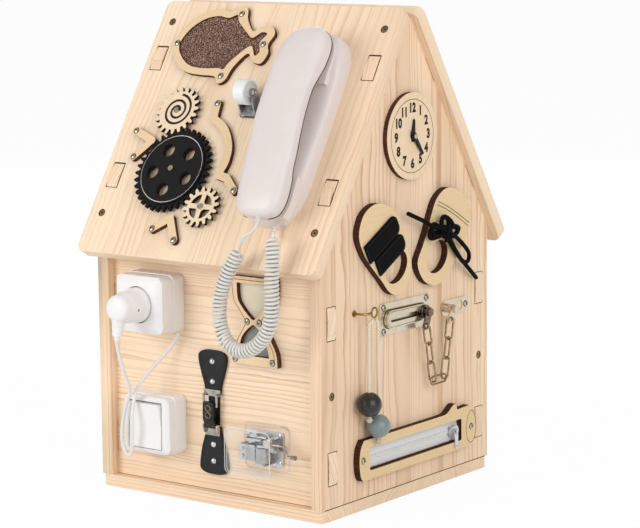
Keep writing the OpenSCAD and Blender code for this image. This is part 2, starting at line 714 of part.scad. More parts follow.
// Mouths of the sleeves that take the curly cord's two ends: [x, v, h]
gland_at = [100, 42.5, 8];
jack_at = [98, 38, 36];
sleeve_d = 8;
sleeve_l = 11.5;
module sleeve() rotate([-90, 0, 0]) difference() {
    cylinder(h = sleeve_l, d = sleeve_d);
    translate([0, 0, -1]) cylinder(h = 5, d = lead_d + 0.6);
}
module phone_base() color("#e6dfdc") on_roof() {
    rows = curve(base_rows, 2);
    polyhedron([for (r = rows) each dome(r, 22, 0.42)], skin(len(rows), 22), convexity = 4);
    translate(gland_at) sleeve();
}

module phone_handset() color("#ebe4e1") on_roof() {
    rows = curve(handset_rows, 2);
    polyhedron([for (r = rows) each oval(r, 28, 0.62)], skin(len(rows), 28), convexity = 4);
    translate(jack_at) sleeve();
}

// The curly cord hangs in front of the eave as a loop between the two jacks
function roof_point(x, v, h) = [x, eave_y + v * cos(pitch) - h * sin(pitch),
    eave_z + v * sin(pitch) + h * cos(pitch)];
curl_route = [[75, -191, 282], [65, -193, 263], [55, -194, 242], [51, -194, 221], [52, -194, 204],
    [59, -194, 189], [72, -194, 180.5], [87, -194, 181], [103, -194, 191], [115, -194, 208],
    [119, -194, 230], [119, -194, 256], [119, -192, 278], [117, -188, 299]];
lead_handset = [[75, -191, 282], [81, -196, 290], [89, -199, 299], [96, -196, 304]];
lead_base = [[117, -188, 299], [115, -184, 303], [109, -179, 302]];
// A lead's last stretch runs straight into its sleeve
function into_sleeve(at) = [for (step = [-5, 3]) roof_point(at.x, at.y + step, at.z)];

module phone_cord() color("#dfe0dd") {
    tube(curve(curl_route, 2), curl_d / 2, 12, [0, 1, 0]);
    tube(concat(lead_handset, into_sleeve(jack_at)), lead_d / 2, 12, [1, 0, 0]);
    tube(concat(lead_base, into_sleeve(gland_at)), lead_d / 2, 12, [1, 0, 0]);
}

// ---- Socket, switch and plug ----
// Box with rounded corners and a bevel round its face
module bevel_box(w, l, h, bevel, rise, r) intersection() {
    linear_extrude(h) rounded(w, l, r);
    rotate([90, 0, 0]) translate([0, 0, -l / 2]) linear_extrude(l) bevel_profile(w, h, bevel, rise);
    rotate([90, 0, 90]) translate([0, 0, -w / 2]) linear_extrude(w) bevel_profile(l, h, bevel, rise);
}

module bevel_profile(w, h, bevel, rise) polygon([[-w / 2, 0], [w / 2, 0], [w / 2, h - rise],
    [w / 2 - bevel, h], [-w / 2 + bevel, h], [-w / 2, h - rise]]);

module back_boxes() color(white) for (at = [socket_at, switch_at]) on_front(at) difference() {
    linear_extrude(box_d) rounded(box_w, box_l, 7);
    translate([0, 0, box_wall]) linear_extrude(box_d) rounded(box_w - 2 * box_wall, box_l - 2 * box_wall, 5);
}

pin_gap = 19;
pin_room = 0.4;
module socket_cover() color(white) on_front(socket_at, box_d) difference() {
    union() {
        bevel_box(box_w - 2, box_l - 2, socket_d, 7, 4, 7);
        translate([0, 0, -box_d + box_wall + 0.2]) cylinder(h = box_d, r = recess_r + 2.5);
    }
    translate([0, 0, socket_d - recess_d]) cylinder(h = recess_d + 1, r = recess_r);
    for (side = [-1, 1]) translate([side * pin_gap / 2, 0, socket_d - recess_d - pin_l - 1])
        cylinder(h = pin_l + 2, d = pin_d + 2 * pin_room);
}

plug_seat = box_d + socket_d - recess_d + 0.3;
relief_drop = 9;
relief_turn = 8;
module plug() color(white) on_front(socket_at, plug_seat) difference() {
    union() {
        rotate_extrude($fn = 64) polygon(concat(
            [[0, 0], [plug_r - 1, 0], [plug_r, 1], [plug_r, 21]],
            curve([[plug_r, 21], [plug_r - 1.2, 25], [plug_end_r + 1.5, 36], [plug_end_r, 42],
                [plug_end_r - 1.5, plug_l - 4.5], [plug_end_r - 6, plug_l - 0.8], [0, plug_l]], 4)));
        for (side = [-1, 1]) translate([side * pin_gap / 2, 0, -pin_l]) rotate_extrude() polygon([
            [0, 0], [pin_d / 2 - 1.2, 0], [pin_d / 2 - 0.4, 0.6], [pin_d / 2, 1.8],
            [pin_d / 2, pin_l + 3], [0, pin_l + 3]]);
        translate([0, 0, plug_l - relief_drop]) rotate([90, 0, -relief_turn])
            cylinder(h = relief_l, r1 = 6, r2 = 3.2);
    }
    translate([0, 0, plug_l - 22]) rotate([-90, 0, 55]) translate([0, 0, plug_end_r + 1]) cylinder(h = 8, d = 4);
}

// Foot of the strain relief, where the plug's cord leaves it
relief_dir = -[sin(relief_turn), 0, cos(relief_turn)];
relief_end = [socket_at.x, front_y - plug_seat - plug_l + relief_drop, socket_at.y] + relief_l * relief_dir;
cord_route = [[-77, -205, 160], [-79, -195, 138], [-80, -186, 119], [-88, -183, 103], [-95, -181, 84],
    [-97, -181, 64], [-92, -181, 49], [-84, -182, 49], [-80, -184, 64], [-79, -185, 84],
    [-78, -183, 104], [-76, -177, 122], [-66, -166, 141], [-54, -156, 158], [-44, -152, 172]];
entry_at = [-41, front_y - 8, socket_at.y - box_l / 2];
module plug_cord() color("#eceae6")
    tube(concat([relief_end], curve(concat([relief_end + 3 * relief_dir], cord_route,
        [entry_at - [0, 0, 3]]), 2), [entry_at]), cord_d / 2, 8, [0, 1, 0.3]);

rocker_room = 1.3;
pivot_h = 4.4;
pivot_d = 3;
pivot_l = 2.2;
module switch_cover() color(white) on_front(switch_at, box_d) difference() {
    bevel_box(box_w - 2, box_l - 2, switch_d, 4, 3, 7);
    translate([0, 0, -1]) linear_extrude(switch_d + 2)
        square([rocker_w + 2 * rocker_room, rocker_l + 2 * rocker_room], center = true);
    translate([0, 0, pivot_h]) rotate([0, 90, 0])
        cylinder(h = rocker_w + 2 * pivot_l + 2 * rocker_room, d = pivot_d + 0.1, center = true);
}

// Rocker with its lower end pressed in
module switch_rocker() color(white) on_front(switch_at, box_d + pivot_h) rotate([rocker_lean, 0, 0]) {
    end_h = switch_d - pivot_h + 2.6;
    rotate([90, 0, 90]) translate([0, 0, -rocker_w / 2]) linear_extrude(rocker_w) polygon([
        [-rocker_l / 2, 1], [-6, -2.4], [6, -2.4], [rocker_l / 2, 1], [rocker_l / 2, end_h - 0.8],
        [rocker_l / 2 - 0.8, end_h], [0, end_h - 2.8], [-rocker_l / 2 + 0.8, end_h],
        [-rocker_l / 2, end_h - 0.8]]);
    rotate([0, 90, 0])
        cylinder(h = rocker_w + 2 * pivot_l + rocker_room, d = pivot_d, center = true);
}

// ---- Hourglass ----
glass_outer = concat([[0, -44.5], [31, -44.5]], curve([[31, -39], [29, -28], [20, -12], [13.5, 0],
    [20, 11], [28, 22], [30.5, 36], [30.5, 48]], 5), [[0, 48]]);
lobe_top = concat([[0, 41]], [[21, 41]], curve([[21, 36], [19.5, 23], [11, 12], [1.5, 3.5]], 5), [[0, 3.5]]);
lobe_low = concat([[0, -2]], curve([[1.5, -2], [10, -9], [16, -17], [19, -28], [20.5, -35]], 5),
    [[0, -35]]);

module hourglass_frame() color(ply) difference() {
    on_front(hourglass_at) linear_extrude(hourglass_t) difference() {
        mirrored(glass_outer);
        mirrored(lobe_top);
        mirrored(lobe_low);
    }
    for (s = hourglass_screws) on_front([s.x, s.y]) screw_hole();
}

module hourglass_pane() color("#d9d2c0") on_front(hourglass_at) linear_extrude(pane_t) {
    mirrored(lobe_top);
    mirrored(lobe_low);
}

// ---- Leather strap with its clasp ----
strap_top = 165;
strap_bottom = 31;
clasp_top = 121.5;
clasp_foot = 79;
rivet_z = [153, 131.3, 63.6, 45.7];

function strap_half(z0, z1) = let (dir = sign(z1 - z0)) concat([[strap_w / 2, z0]],
    curve([[strap_w / 2, z0], [strap_w / 2 + 1.6, z0 + 10 * dir], [strap_w / 2 + 6, z0 + 24 * dir],
        [strap_w / 2 + 9, z1 - 11 * dir], [strap_w / 2 + 7.6, z1 - 4 * dir], [10, z1 - 0.6 * dir],
        [0, z1]], 5));

module strap_upper() color(black) on_front([strap_x, 0]) linear_extrude(leather_t)
    mirrored(strap_half(clasp_top - 4, strap_top));

module strap_lower() color(black) on_front([strap_x, 0]) linear_extrude(leather_t)
    mirrored(strap_half(clasp_foot + 4, strap_bottom));

module strap_rivets() color(steel) for (z = rivet_z) on_front([strap_x, z], leather_t)
    intersection() {
        cylinder(h = 2, d = 6.6);
        translate([0, 0, -1.9]) sphere(3.9);
    }

hook_pivot = [84, leather_t + 3.4];
bar_z = 106;
bar_h = leather_t + 4.2;
// The loop on the upper strap and the hinge block on the lower strap
module clasp_keeper() color("#4c4a4b") on_front([strap_x, 0]) {
    translate([0, clasp_top - 2, leather_t]) linear_extrude(1.2) square([strap_w + 2, 7], center = true);
    for (side = [-1, 1]) wire([[side * (strap_w / 2 - 1), clasp_top - 3, leather_t + 1.2],
        [side * (strap_w / 2 - 1), clasp_top - 5, bar_h], [side * (strap_w / 2 - 1), bar_z, bar_h],
        [0, bar_z, bar_h]], clasp_wire);
    translate([0, clasp_foot - 1, leather_t]) linear_extrude(1.2) square([strap_w, 9], center = true);
    for (side = [-1, 1]) translate([side * (strap_w / 2 - 0.8), 0, 0]) rotate([90, 0, 90])
        translate([0, 0, -0.8]) linear_extrude(1.6)
            taper2d([clasp_foot - 1, leather_t + 2], 2, hook_pivot, 2.2);
    translate([-strap_w / 2 + 1, hook_pivot.x, hook_pivot.y]) rotate([0, 90, 0])
        cylinder(h = strap_w - 2, d = 2.4);
}

// Hook that swings up from its hinge; its lip holds the loop
hook_w = 14;
module clasp_hook() color("#5d5b5a") on_front([strap_x, 0]) rotate([90, 0, 90])
    translate([0, 0, -hook_w / 2]) linear_extrude(hook_w) difference() {
        union() {
            translate(hook_pivot) circle(2.4);
            path2d(concat([hook_pivot + [1.2, 1], [92, bar_h + 3.1], [bar_z - 2, bar_h + 3.1]],
                [[bar_z + 3.4, bar_h + 2.4], [bar_z + 3.6, bar_h - 1]]), 1.8);
        }
        translate(hook_pivot) circle(1.3);
    }

// ---- Music box ----
shaft_x = case_at.x + 14;
shaft_z = case_at.y + 8;
shaft_h = 17;
drum_at = [case_at.x + 4, case_at.y - 5.5];
drum_h = 14;
case_hole = 4;
module music_case() color("#cfd8dd", 0.4) on_front(case_at) difference() {
    linear_extrude(case_d) rounded(case_w, case_l, 7);
    translate([0, 0, -1]) linear_extrude(case_d - case_wall + 1)
        rounded(case_w - 2 * case_wall, case_l - 2 * case_wall, 5);
    translate([0, shaft_z - case_at.y, shaft_h]) rotate([0, 90, 0]) cylinder(h = case_w, d = case_hole);
}

comb_teeth = 18;
module music_movement() color(steel) on_front(case_at) {
    plate_h = 3;
    // Bed plate, and the post that holds it on the board
    linear_extrude(plate_h) rounded(46, 36, 3);
    // Comb on its block, its teeth cut almost to the drum
    translate([-25, -13, plate_h - eps]) cube([9, 17, drum_h - plate_h + 1]);
    translate([-25, -13, drum_h + 1 - eps]) difference() {
        cube([21, 17, 1.2]);
        for (i = [0 : comb_teeth - 2]) translate([9, 0.75 + 17 / comb_teeth * (i + 0.2), -1])
            cube([13, 17 / comb_teeth * 0.3, 4]);
    }
    for (z = [-8.5, -0.5]) translate([-21, z, drum_h + 2.1]) cylinder(h = 1.8, d = 5);
    // Bearings of the drum
    for (z = [-16.6, 3.4]) translate([0, z, plate_h - eps]) difference() {
        cube([8.5, 2.2, drum_h - plate_h + 4]);
        translate([drum_at.x - case_at.x, -1, drum_h - plate_h]) rotate([-90, 0, 0])
            cylinder(h = 5, d = 3.2);
    }
    // Housing of the worm, with the crank's bearing
    translate([shaft_x - case_at.x - 3, 4.5, plate_h - eps]) difference() {
        cube([7, 8, shaft_h - plate_h + 4]);
        translate([-1, shaft_z - case_at.y - 4.5, shaft_h - plate_h]) rotate([0, 90, 0])
            cylinder(h = 9, d = crank_d + 0.2);
    }
    // Bar across the top
    translate([-17, 9, plate_h - eps]) cube([20, 2, 12]);
}

module music_cylinder() color("#c2c3c6") on_front(drum_at, drum_h) rotate([90, 0, 0]) {
    cylinder(h = drum_l, r = drum_r, center = true, $fn = 64);
    cylinder(h = drum_l + 6, d = 3, center = true);
}

crank_x = case_at.x + case_w / 2 + 5;
module music_crank() color(steel) on_front([0, shaft_z], shaft_h) {
    rotate([0, 90, 0]) translate([0, 0, shaft_x - 5]) cylinder(h = crank_x - shaft_x + 5, d = crank_d);
    tube(curve([[crank_x - eps, 0, 0], [crank_x + 2.4, -1, 0], [crank_x + 3, -crank_throw / 2, 0],
        [crank_x + 3.6, 1 - crank_throw, 0], [crank_x + 6, -crank_throw, 0],
        [crank_x + 10, -crank_throw, 0]], 3), crank_d / 2, 16, [0, 0, 1]);
    translate([crank_x + 9, -crank_throw, 0]) rotate([0, 90, 0]) cylinder(h = 6, d1 = 4.4, d2 = 5.4);
}

// ---- Clock ----
hub_d = 3.4;
hand_h = clock_t + 0.5;
module clock_face() color(ply) on_gable(clock_at) difference() {
    cylinder(h = clock_t, r = clock_r, $fn = 96);
    translate([0, 0, -1]) cylinder(h = clock_t + 2, d = hub_d + 2 * screw_room);
    translate([0, 0, clock_t - 0.5]) linear_extrude(1) difference() {
        circle(clock_r - 7, $fn = 96);
        circle(clock_r - 7.7, $fn = 96);
    }
}

module clock_hand(length, w, tail) linear_extrude(hand_t) difference() {
    union() {
        circle(d = hub_d + 5);
        polygon([[0, w / 2], [length - 1, 1.3], [length, 0], [length - 1, -1.3], [0, -w / 2]]);
        polygon([[0, w / 2], [-tail, 1.5], [-tail, -1.5], [0, -w / 2]]);
    }
    circle(d = hub_d + 0.2);
}

module hour_hand() color(black) on_gable(clock_at, hand_h) rotate(84) clock_hand(hour_l, 6.5, 6);

module minute_hand() color(black) on_gable(clock_at, hand_h + hand_t + 0.3)
    rotate(-52) clock_hand(minute_l, 5.6, 7);

// Screw on which the two hands turn
module clock_screw() {
    top = hand_h + 2 * hand_t + 0.6;
    translate([0, 0, -screw_bite]) cylinder(h = screw_bite + eps, d = screw_d);
    cylinder(h = top, d = hub_d);
    translate([0, 0, top]) cylinder(h = 1.4, d = 5.4);
}

// ---- Shoes, drawn about the gable's eave line ----
shoe_left_edge = [[-30, -52], [-45, -47], [-58, -34], [-73, -20], [-88, -4], [-98, 17],
    [-91, 37], [-74, 47], [-56, 47], [-38, 40], [-24, 26], [-16, 8], [-8, -10], [-4, -28],
    [-13, -45]];
shoe_right_edge = [[36, -51], [18, -43], [7, -24], [17, -6], [26, 9], [33, 25], [44, 42],
    [63, 51], [86, 46], [104, 33], [109, 14], [100, -6], [84, -22], [70, -38], [54, -49]];
eyelets = [[33, 6], [64, 3]];

module shoe_left() color(ply) on_gable([0, eave_h]) linear_extrude(shoe_t) difference() {
    polygon(loop_curve(shoe_left_edge, 4));
    polygon(ellipse([-32, -22], 21, 16, 30));
}

module shoe_right() color(ply) on_gable([0, eave_h]) difference() {
    linear_extrude(shoe_t) difference() {
        polygon(loop_curve(shoe_right_edge, 4));
        polygon(ellipse([44, -21], 21, 16, 30));
    }
    for (e = eyelets) translate([e.x, e.y, -1]) cylinder(h = shoe_t + 2, d = lace_d + 1);
}

velcro_gap = 0.4;
velcro_turn = 28;
module velcro(at, l, w) on_gable([at.x, eave_h + at.y], shoe_t + velcro_gap) rotate(velcro_turn)
    linear_extrude(velcro_t) {
        translate([0, -w / 2]) square([l - w / 2 + 3, w]);
        translate([l - w / 2 - 1, w / 2 - 8]) circle(8);
        translate([l - w / 2 - 1, -w / 2 + 8]) circle(8);
        translate([l - w / 2 - 1, -w / 2 + 8]) square([8, w - 16]);
    }

module shoe_strap_upper() color(black) velcro([-86.8, -3.7], 66, 22);
module shoe_strap_lower() color("#242127") velcro([-68.5, -19.2], 57, 20.5);

// Lace through both eyelets, tied in a bow; its ends lie on the shoe
lace_h = shoe_t + lace_d / 2;
lace_runs = [
    [[-14.9, 32.2, lace_h + 1], [0.5, 26.2, lace_h + 1.5], [13.6, 20.5, lace_h + 3],
        [25.7, 14.8, lace_h + 3], [36.5, 10.4, lace_h + 4], [44, 7, lace_h + 6]],
    [[42, 9, lace_h + 6], [39.3, 15.1, lace_h + 6], [44.6, 22.4, lace_h + 5], [52.6, 20, lace_h + 6],
        [59.7, 12.7, lace_h + 7], [56, 6.5, lace_h + 7], [50, 5, lace_h + 7.5]],
    [[44.4, 3.5, lace_h + 7], [33.5, 2.3, lace_h + 6], [23.8, 1.7, lace_h + 3], [22.9, 9.3, lace_h + 3],
        [29.4, 13, lace_h + 5], [40, 11.5, lace_h + 7.5]],
    [[48, 7, lace_h + 7], [65, -0.4, lace_h + 6], [83.5, -11.5, lace_h + 4], [96.8, -23.1, lace_h + 3],
        [94.8, -32.2, lace_h + 3], [84, -29.7, lace_h + 3], [69.9, -16.9, lace_h + 4],
        [52.5, 0, lace_h + 6]],
    [[52.1, 2.7, lace_h + 5], [65.6, -11.6, lace_h + 3], [80.7, -25.5, lace_h + 2],
        [102.5, -41.1, lace_h - 1], [124, -55, lace_h - 5]],
    [[41.2, 3.9, lace_h + 4], [52.5, -1.1, lace_h + 6], [67, 1, lace_h + 6], [75.8, 6.8, lace_h + 4],
        [63.7, 10.5, lace_h + 5], [49.2, 9.1, lace_h + 7]]];
module shoelace() color(black) on_gable([0, eave_h]) {
    for (run = lace_runs) tube(curve(run, 2), lace_d / 2, 8, [0, 0, 1]);
    translate([48, 6, lace_h + 5]) rotate([70, 20, 0])
        cylinder(h = 2.4 * lace_d, d = 2.2 * lace_d, center = true, $fn = 24);
}

// ---- Zipper ----
rail = 9.5;
zip_low = zipper_at.y - window_h / 2 - rail;
zip_high = zipper_at.y + window_h / 2 + rail;
// Edge with a raised tongue near its right end, over the window
zip_edge = concat(
    curve([[zip_right + 17.5, zip_low], [zip_right + 25.5, zip_low + 6], [zip_right + 28.5, zip_low + 22],
        [zip_right + 25.5, zip_low + 38], [zip_right + 15.5, zip_high + 3]], 4),
    [[zip_right - 8.5, zip_high + 2], [zip_right - 10.5, zip_high + 9]],
    curve([[zip_right - 14.5, zip_high + 9], [zip_right - 20.5, zip_high + 6],
        [zip_right - 28.5, zip_high + 1], [zip_right - 38.5, zip_high]], 3),
    curve([[zip_left - 10.5, zip_high], [zip_left - 16.5, zip_high - 9], [zip_left - 18.5, zip_high - 23],
        [zip_left - 16.5, zip_low + 6], [zip_left - 12.5, zip_low]], 4));
tape_top = tape_t + 0.4;
tooth_pitch = 2.6;
teeth_h = 2.2;
module zipper_frame() color(ply) on_gable() difference() {
    linear_extrude(zipper_t) difference() {
        polygon(zip_edge);
        translate(zipper_at) rounded(window_l, window_h, 2);
    }
    for (s = zipper_screws) translate([s.x, s.y, 0]) screw_hole();
}

zipper_teeth = floor((window_l - 6) / tooth_pitch);
module zipper_tape() color(white) on_gable(zipper_at) {
    linear_extrude(tape_top) square([window_l - 0.4, window_h - 3], center = true);
    for (i = [0 : zipper_teeth - 1])
        translate([-window_l / 2 + 3 + tooth_pitch * (i + 0.2), i % 2 == 0 ? -2.6 : -1.8, tape_top - eps])
            cube([tooth_pitch * 0.6, 4.4, teeth_h]);
}

slider_y = zip_right - 12;
slider_lift = tape_top + teeth_h + 0.35;
module zipper_slider() color("#d8d9dc") on_gable([slider_y, zipper_at.y], slider_lift) {
    linear_extrude(1.6) taper2d([4, 0], 5.6, [-4, 0], 4.4);
    for (side = [-1, 1]) translate([-5, side * 4.9 - 0.6, -1.9]) cube([8.5, 1.2, 2]);
    // Bail over the slider's back, in which the pull hangs
    difference() {
        translate([-1.5, -2.4, 1.6 - eps]) cube([3, 4.8, pull_lift + 2 - 1.6]);
        translate([-2, -1.35, pull_lift - 1.3]) cube([4, 2.7, 2.5]);
    }
}

// The pull hangs over the frame's lower rail, leaning out to clear it
pull_lift = zipper_t - slider_lift + 0.6;
pull_lean = 3;
module zipper_pull() color("#e3e4e6") on_gable([slider_y, zipper_at.y], slider_lift + pull_lift)
    rotate([-pull_lean, 0, 0]) {
        linear_extrude(1.2, center = true) difference() {
            taper2d([0, -2.6], 3.6, [0, -17], 2.4);
            translate([-2, -3.4]) square([4, 2.7]);
            translate([0, -16]) circle(1.2);
        }
        translate([-2.4, 0, 0]) rotate([0, 90, 0]) cylinder(h = 4.8, d = 1.5);
    }

// ---- Beads ----
hook_d = 2.6;
hook_bite = 9;
string_h = max(bead_black_d, bead_grey_d) / 2 + 0.8;
ring_at_y = -80;
ring_r = 5;
module string_hook() color(brass) on_gable(hook_at) {
    translate([0, 0, -hook_bite]) cylinder(h = hook_bite + 7, d = hook_d);
    cylinder(h = 1, d = 7);
    tube(curve([[0, 0, 7 - eps], [1, 0, 10.5], [5, 0, string_h], [9, 0, string_h],
        [ring_at_y - hook_at.x - ring_r + 0.4, 0, string_h]], 3), hook_d / 2, 12, [0, 1, 0]);
    translate([ring_at_y - hook_at.x, 0, string_h]) rotate_extrude() translate([ring_r, 0])
        circle(d = hook_d - 0.4);
}

strand_y = [-90, -74];
strand_foot = [hook_at.y - 111.5, hook_at.y - 136.5];
knot_d = string_d + 2.8;
module bead_string() color("#efe3cd") on_gable() {
    fork_z = hook_at.y - 12;
    for (i = [0, 1]) {
        tube([[ring_at_y + (strand_y[i] - ring_at_y) * 0.26, hook_at.y - ring_r - hook_d - 0.2, string_h],
            [strand_y[i] + (ring_at_y - strand_y[i]) * 0.1, fork_z + 1.5, string_h],
            [strand_y[i], fork_z, string_h], [strand_y[i], strand_foot[i], string_h]],
            string_d / 2, 12, [1, 0, 0]);
        translate([strand_y[i], strand_foot[i], string_h]) sphere(d = knot_d);
    }
}

bead_bore = 0.5;
module bead(d) difference() {
    sphere(d = d, $fn = 64);
    cylinder(h = d + 2, d = string_d + 2 * bead_bore, center = true);
}
black_z = strand_foot[0] + (knot_d + bead_black_d) / 2 + 0.3;
grey_z = strand_foot[1] + (knot_d + bead_grey_d) / 2 + 0.3;
module bead_black() color(black)
    translate([gable_x + string_h, strand_y[0], black_z]) bead(bead_black_d);
module bead_grey() color("#8b9394")
    translate([gable_x + string_h, strand_y[1], grey_z]) bead(bead_grey_d);

// ---- Door chain ----
track_skin = 1.4;
track_a = [plate_at.x - 36, plate_at.y - 0.5];
track_b = [plate_at.x + 34, track_a.y];
slot_w = 5.8;
module chain_plate() color("#cfc5ae") on_gable() difference() {
    union() {
        translate(plate_at) linear_extrude(plate_t) rounded(93, 34, 4);
        linear_extrude(plate_t + track_h) taper2d(track_a + [6, 0], 9.6, track_b - [4, 0], 8.6);
    }
    translate([0, 0, plate_t]) linear_extrude(track_h - track_skin)
        taper2d(track_a + [6, 0], 8, track_b - [4, 0], 7);
    translate([0, 0, plate_t]) linear_extrude(track_h + 1) bar2d(track_a + [6, 0], track_b - [4, 0], slot_w);
    for (s = plate_screws) translate([s.x, s.y, 0]) screw_hole();
}

// Chain pivots on the gable at rest; the chain hangs at height chain_h
chain_h = 12;
leg_links = 3;
leg_l = leg_links * link_pitch;
stud_y = track_b.x - 4;
eye_drop = 13.3;
eye_back = 5.5;
leg_lean = 11.2;
pivot_1 = [stud_y - eye_back, track_b.y - eye_drop];
pivot_2 = pivot_1 + leg_l * [sin(leg_lean), -cos(leg_lean)];
pivot_3 = pivot_2 + [link_pitch, 0];
pivot_4 = pivot_3 + leg_l * [sin(leg_lean), cos(leg_lean)];

// Wire link between two held points, rolled about its length; reach is how far it goes past them
module link(a, b, roll, reach_a, reach_b) {
    d = b - a;
    bow = (link_w - link_wire) / 2;
    translate([a.x, a.y, chain_h]) rotate(atan2(d.y, d.x)) rotate([roll, 0, 0]) {
        for (side = [-1, 1]) translate([-reach_a + bow, side * bow, 0]) rotate([0, 90, 0])
            cylinder(h = norm(d) + reach_a + reach_b - 2 * bow, d = link_wire, $fn = 24);
        translate([-reach_a + bow, 0, 0]) rotate(90) link_bow(bow);
        translate([norm(d) + reach_b - bow, 0, 0]) rotate(-90) link_bow(bow);
    }
}

module link_bow(bow) rotate_extrude(angle = 180, $fn = 32) translate([bow, 0]) circle(d = link_wire, $fn = 24);

// Reach of a link in a straight run, of a leg's last link, and of the lower link that it holds
inner_reach = link_wire / 2 + 0.15;
end_reach = 1;
lower_reach = 3.6;
module chain_leg(a, b) for (i = [0 : leg_links - 1])
    link(a + (b - a) * i / leg_links, a + (b - a) * (i + 1) / leg_links, i % 2 == 0 ? 90 : 0,
        inner_reach, i == leg_links - 1 ? end_reach : inner_reach);

// Lug from a stud at the origin to the hole that a leg's first link swings in
lug_t = 1.6;
lug_hole = 3;
module lug(hole_at) translate([0, 0, chain_h - lug_t / 2]) linear_extrude(lug_t) difference() {
    taper2d([0, 0], 5.2, hole_at, lug_hole + 2.2);
    translate(hole_at) circle(lug_hole);
}

module chain_stud() color("#8d8577") on_gable([stud_y, track_b.y]) {
    translate([0, 0, plate_t + 0.4]) cylinder(h = 1.8, r = 5.4);
    translate([0, 0, plate_t + 0.4]) cylinder(h = track_h + 2, d = slot_w - 0.8);
    translate([0, 0, plate_t + track_h + 0.35]) cylinder(h = 2, r = 7.4);
    translate([0, 0, plate_t + track_h + 2]) cylinder(h = 6.5, r = 4.4);
    lug(pivot_1 - [stud_y, track_b.y]);
}

module chain_left() color(brass) on_gable() chain_leg(pivot_1, pivot_2);
module chain_lower() color(brass) on_gable() link(pivot_2, pivot_3, 0, lower_reach, lower_reach);
module chain_right() color(brass) on_gable() chain_leg(pivot_4, pivot_3);

swivel_at = keeper_at - [15, 0];
module chain_keeper() color("#cfc5ae") on_gable() difference() {
    union() {
        linear_extrude(plate_t) bar2d(keeper_at - [17, 0], keeper_at + [17.5, 0], 17.5);
        translate(swivel_at) cylinder(h = chain_h - 2, d = 10);
        translate(swivel_at) cylinder(h = chain_h + 2.5, d = 8);
        translate(swivel_at) lug(pivot_4 - swivel_at);
    }
    translate([keeper_at.x + 11, keeper_at.y, -1]) cylinder(h = plate_t + 2, d = 10);
    for (s = keeper_screws) translate([s.x, s.y, 0]) screw_hole();
}

base_board();
front_wall();
rear_wall();
gable_right();
gable_left();
roof_front();
roof_rear();
carcass_screws();
module_screws();
fish_frame();
fish_pad();
gear_big();
gear_spiral();
gear_spoked();
gear_brackets();
caster_plate();
caster_fork();
caster_wheel();
phone_base();
phone_handset();
phone_cord();
back_boxes();
socket_cover();
plug();
plug_cord();
switch_cover();
switch_rocker();
hourglass_frame();
hourglass_pane();
strap_upper();
strap_lower();
clasp_keeper();
clasp_hook();
strap_rivets();
music_case();
music_movement();
music_cylinder();
music_crank();
clock_face();
hour_hand();
minute_hand();
shoe_left();
shoe_right();
shoe_strap_upper();
shoe_strap_lower();
shoelace();
zipper_frame();
zipper_tape();
zipper_slider();
zipper_pull();
string_hook();
bead_string();
bead_black();
bead_grey();
chain_plate();
chain_stud();
chain_left();
chain_lower();
chain_right();
chain_keeper();
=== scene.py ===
"""Wooden busy house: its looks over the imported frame. Metres; measures in mm are scaled by MM."""
import json
import math
import random

import bmesh
import bpy
from mathutils import Matrix, Vector, noise

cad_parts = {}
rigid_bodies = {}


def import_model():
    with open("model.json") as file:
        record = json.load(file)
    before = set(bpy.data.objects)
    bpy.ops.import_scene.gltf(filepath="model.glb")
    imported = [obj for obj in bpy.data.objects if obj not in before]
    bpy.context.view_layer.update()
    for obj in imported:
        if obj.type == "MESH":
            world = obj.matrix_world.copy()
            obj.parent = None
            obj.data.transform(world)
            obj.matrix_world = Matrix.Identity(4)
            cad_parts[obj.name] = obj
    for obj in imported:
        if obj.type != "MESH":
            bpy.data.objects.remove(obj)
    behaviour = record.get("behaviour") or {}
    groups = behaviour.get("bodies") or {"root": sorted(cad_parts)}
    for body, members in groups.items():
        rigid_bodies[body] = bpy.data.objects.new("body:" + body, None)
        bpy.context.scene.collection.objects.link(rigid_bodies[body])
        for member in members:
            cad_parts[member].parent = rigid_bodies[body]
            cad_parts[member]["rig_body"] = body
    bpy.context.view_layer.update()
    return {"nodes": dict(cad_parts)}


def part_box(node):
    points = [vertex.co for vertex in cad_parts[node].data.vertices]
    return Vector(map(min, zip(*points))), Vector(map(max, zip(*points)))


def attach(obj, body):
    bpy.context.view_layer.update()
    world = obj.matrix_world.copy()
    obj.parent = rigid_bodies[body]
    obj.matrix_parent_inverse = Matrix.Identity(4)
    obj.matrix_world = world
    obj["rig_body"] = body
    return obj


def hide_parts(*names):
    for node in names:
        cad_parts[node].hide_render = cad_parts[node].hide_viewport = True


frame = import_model()
scene = bpy.context.scene
MM = 0.001


def added(name, data):
    """New object in the scene."""
    obj = bpy.data.objects.new(name, data)
    scene.collection.objects.link(obj)
    return obj


def new_mesh(name, verts, faces):
    """Mesh from its points and faces."""
    mesh = bpy.data.meshes.new(name)
    mesh.from_pydata(verts, [], faces)
    return mesh


def steps_round(n):
    """Angles of n equal steps round a circle."""
    return [math.tau * k / n for k in range(n)]


# --- faces of the house
PITCH = math.radians(58)
FRONT_Y, GABLE_X, EAVE_Y = -143.5, 150.0, -178.0
EAVE_H, BOARD, OVERHANG = 274, 14, 24
EAVE_Z = EAVE_H + BOARD / math.cos(PITCH) - OVERHANG * math.tan(PITCH)
# Tops of the plywood pieces above the face that they lie on
THIN_PLY, GEAR_PLY, GLASS_PLY, CLOCK_PLY, SHOE_PLY = 5, 7, 7, 5.5, 8
GLASS_X, GLASS_Z = 60, 200
CP, SP = math.cos(PITCH), math.sin(PITCH)


def roof(x, v, h):
    """Point on the front roof slope: x along the ridge, v up the slope, h above it."""
    return Vector((x, EAVE_Y + v * CP - h * SP, EAVE_Z + v * SP + h * CP)) * MM


def front(x, z, h):
    """Point at a height above the front wall."""
    return Vector((x, FRONT_Y - h, z)) * MM


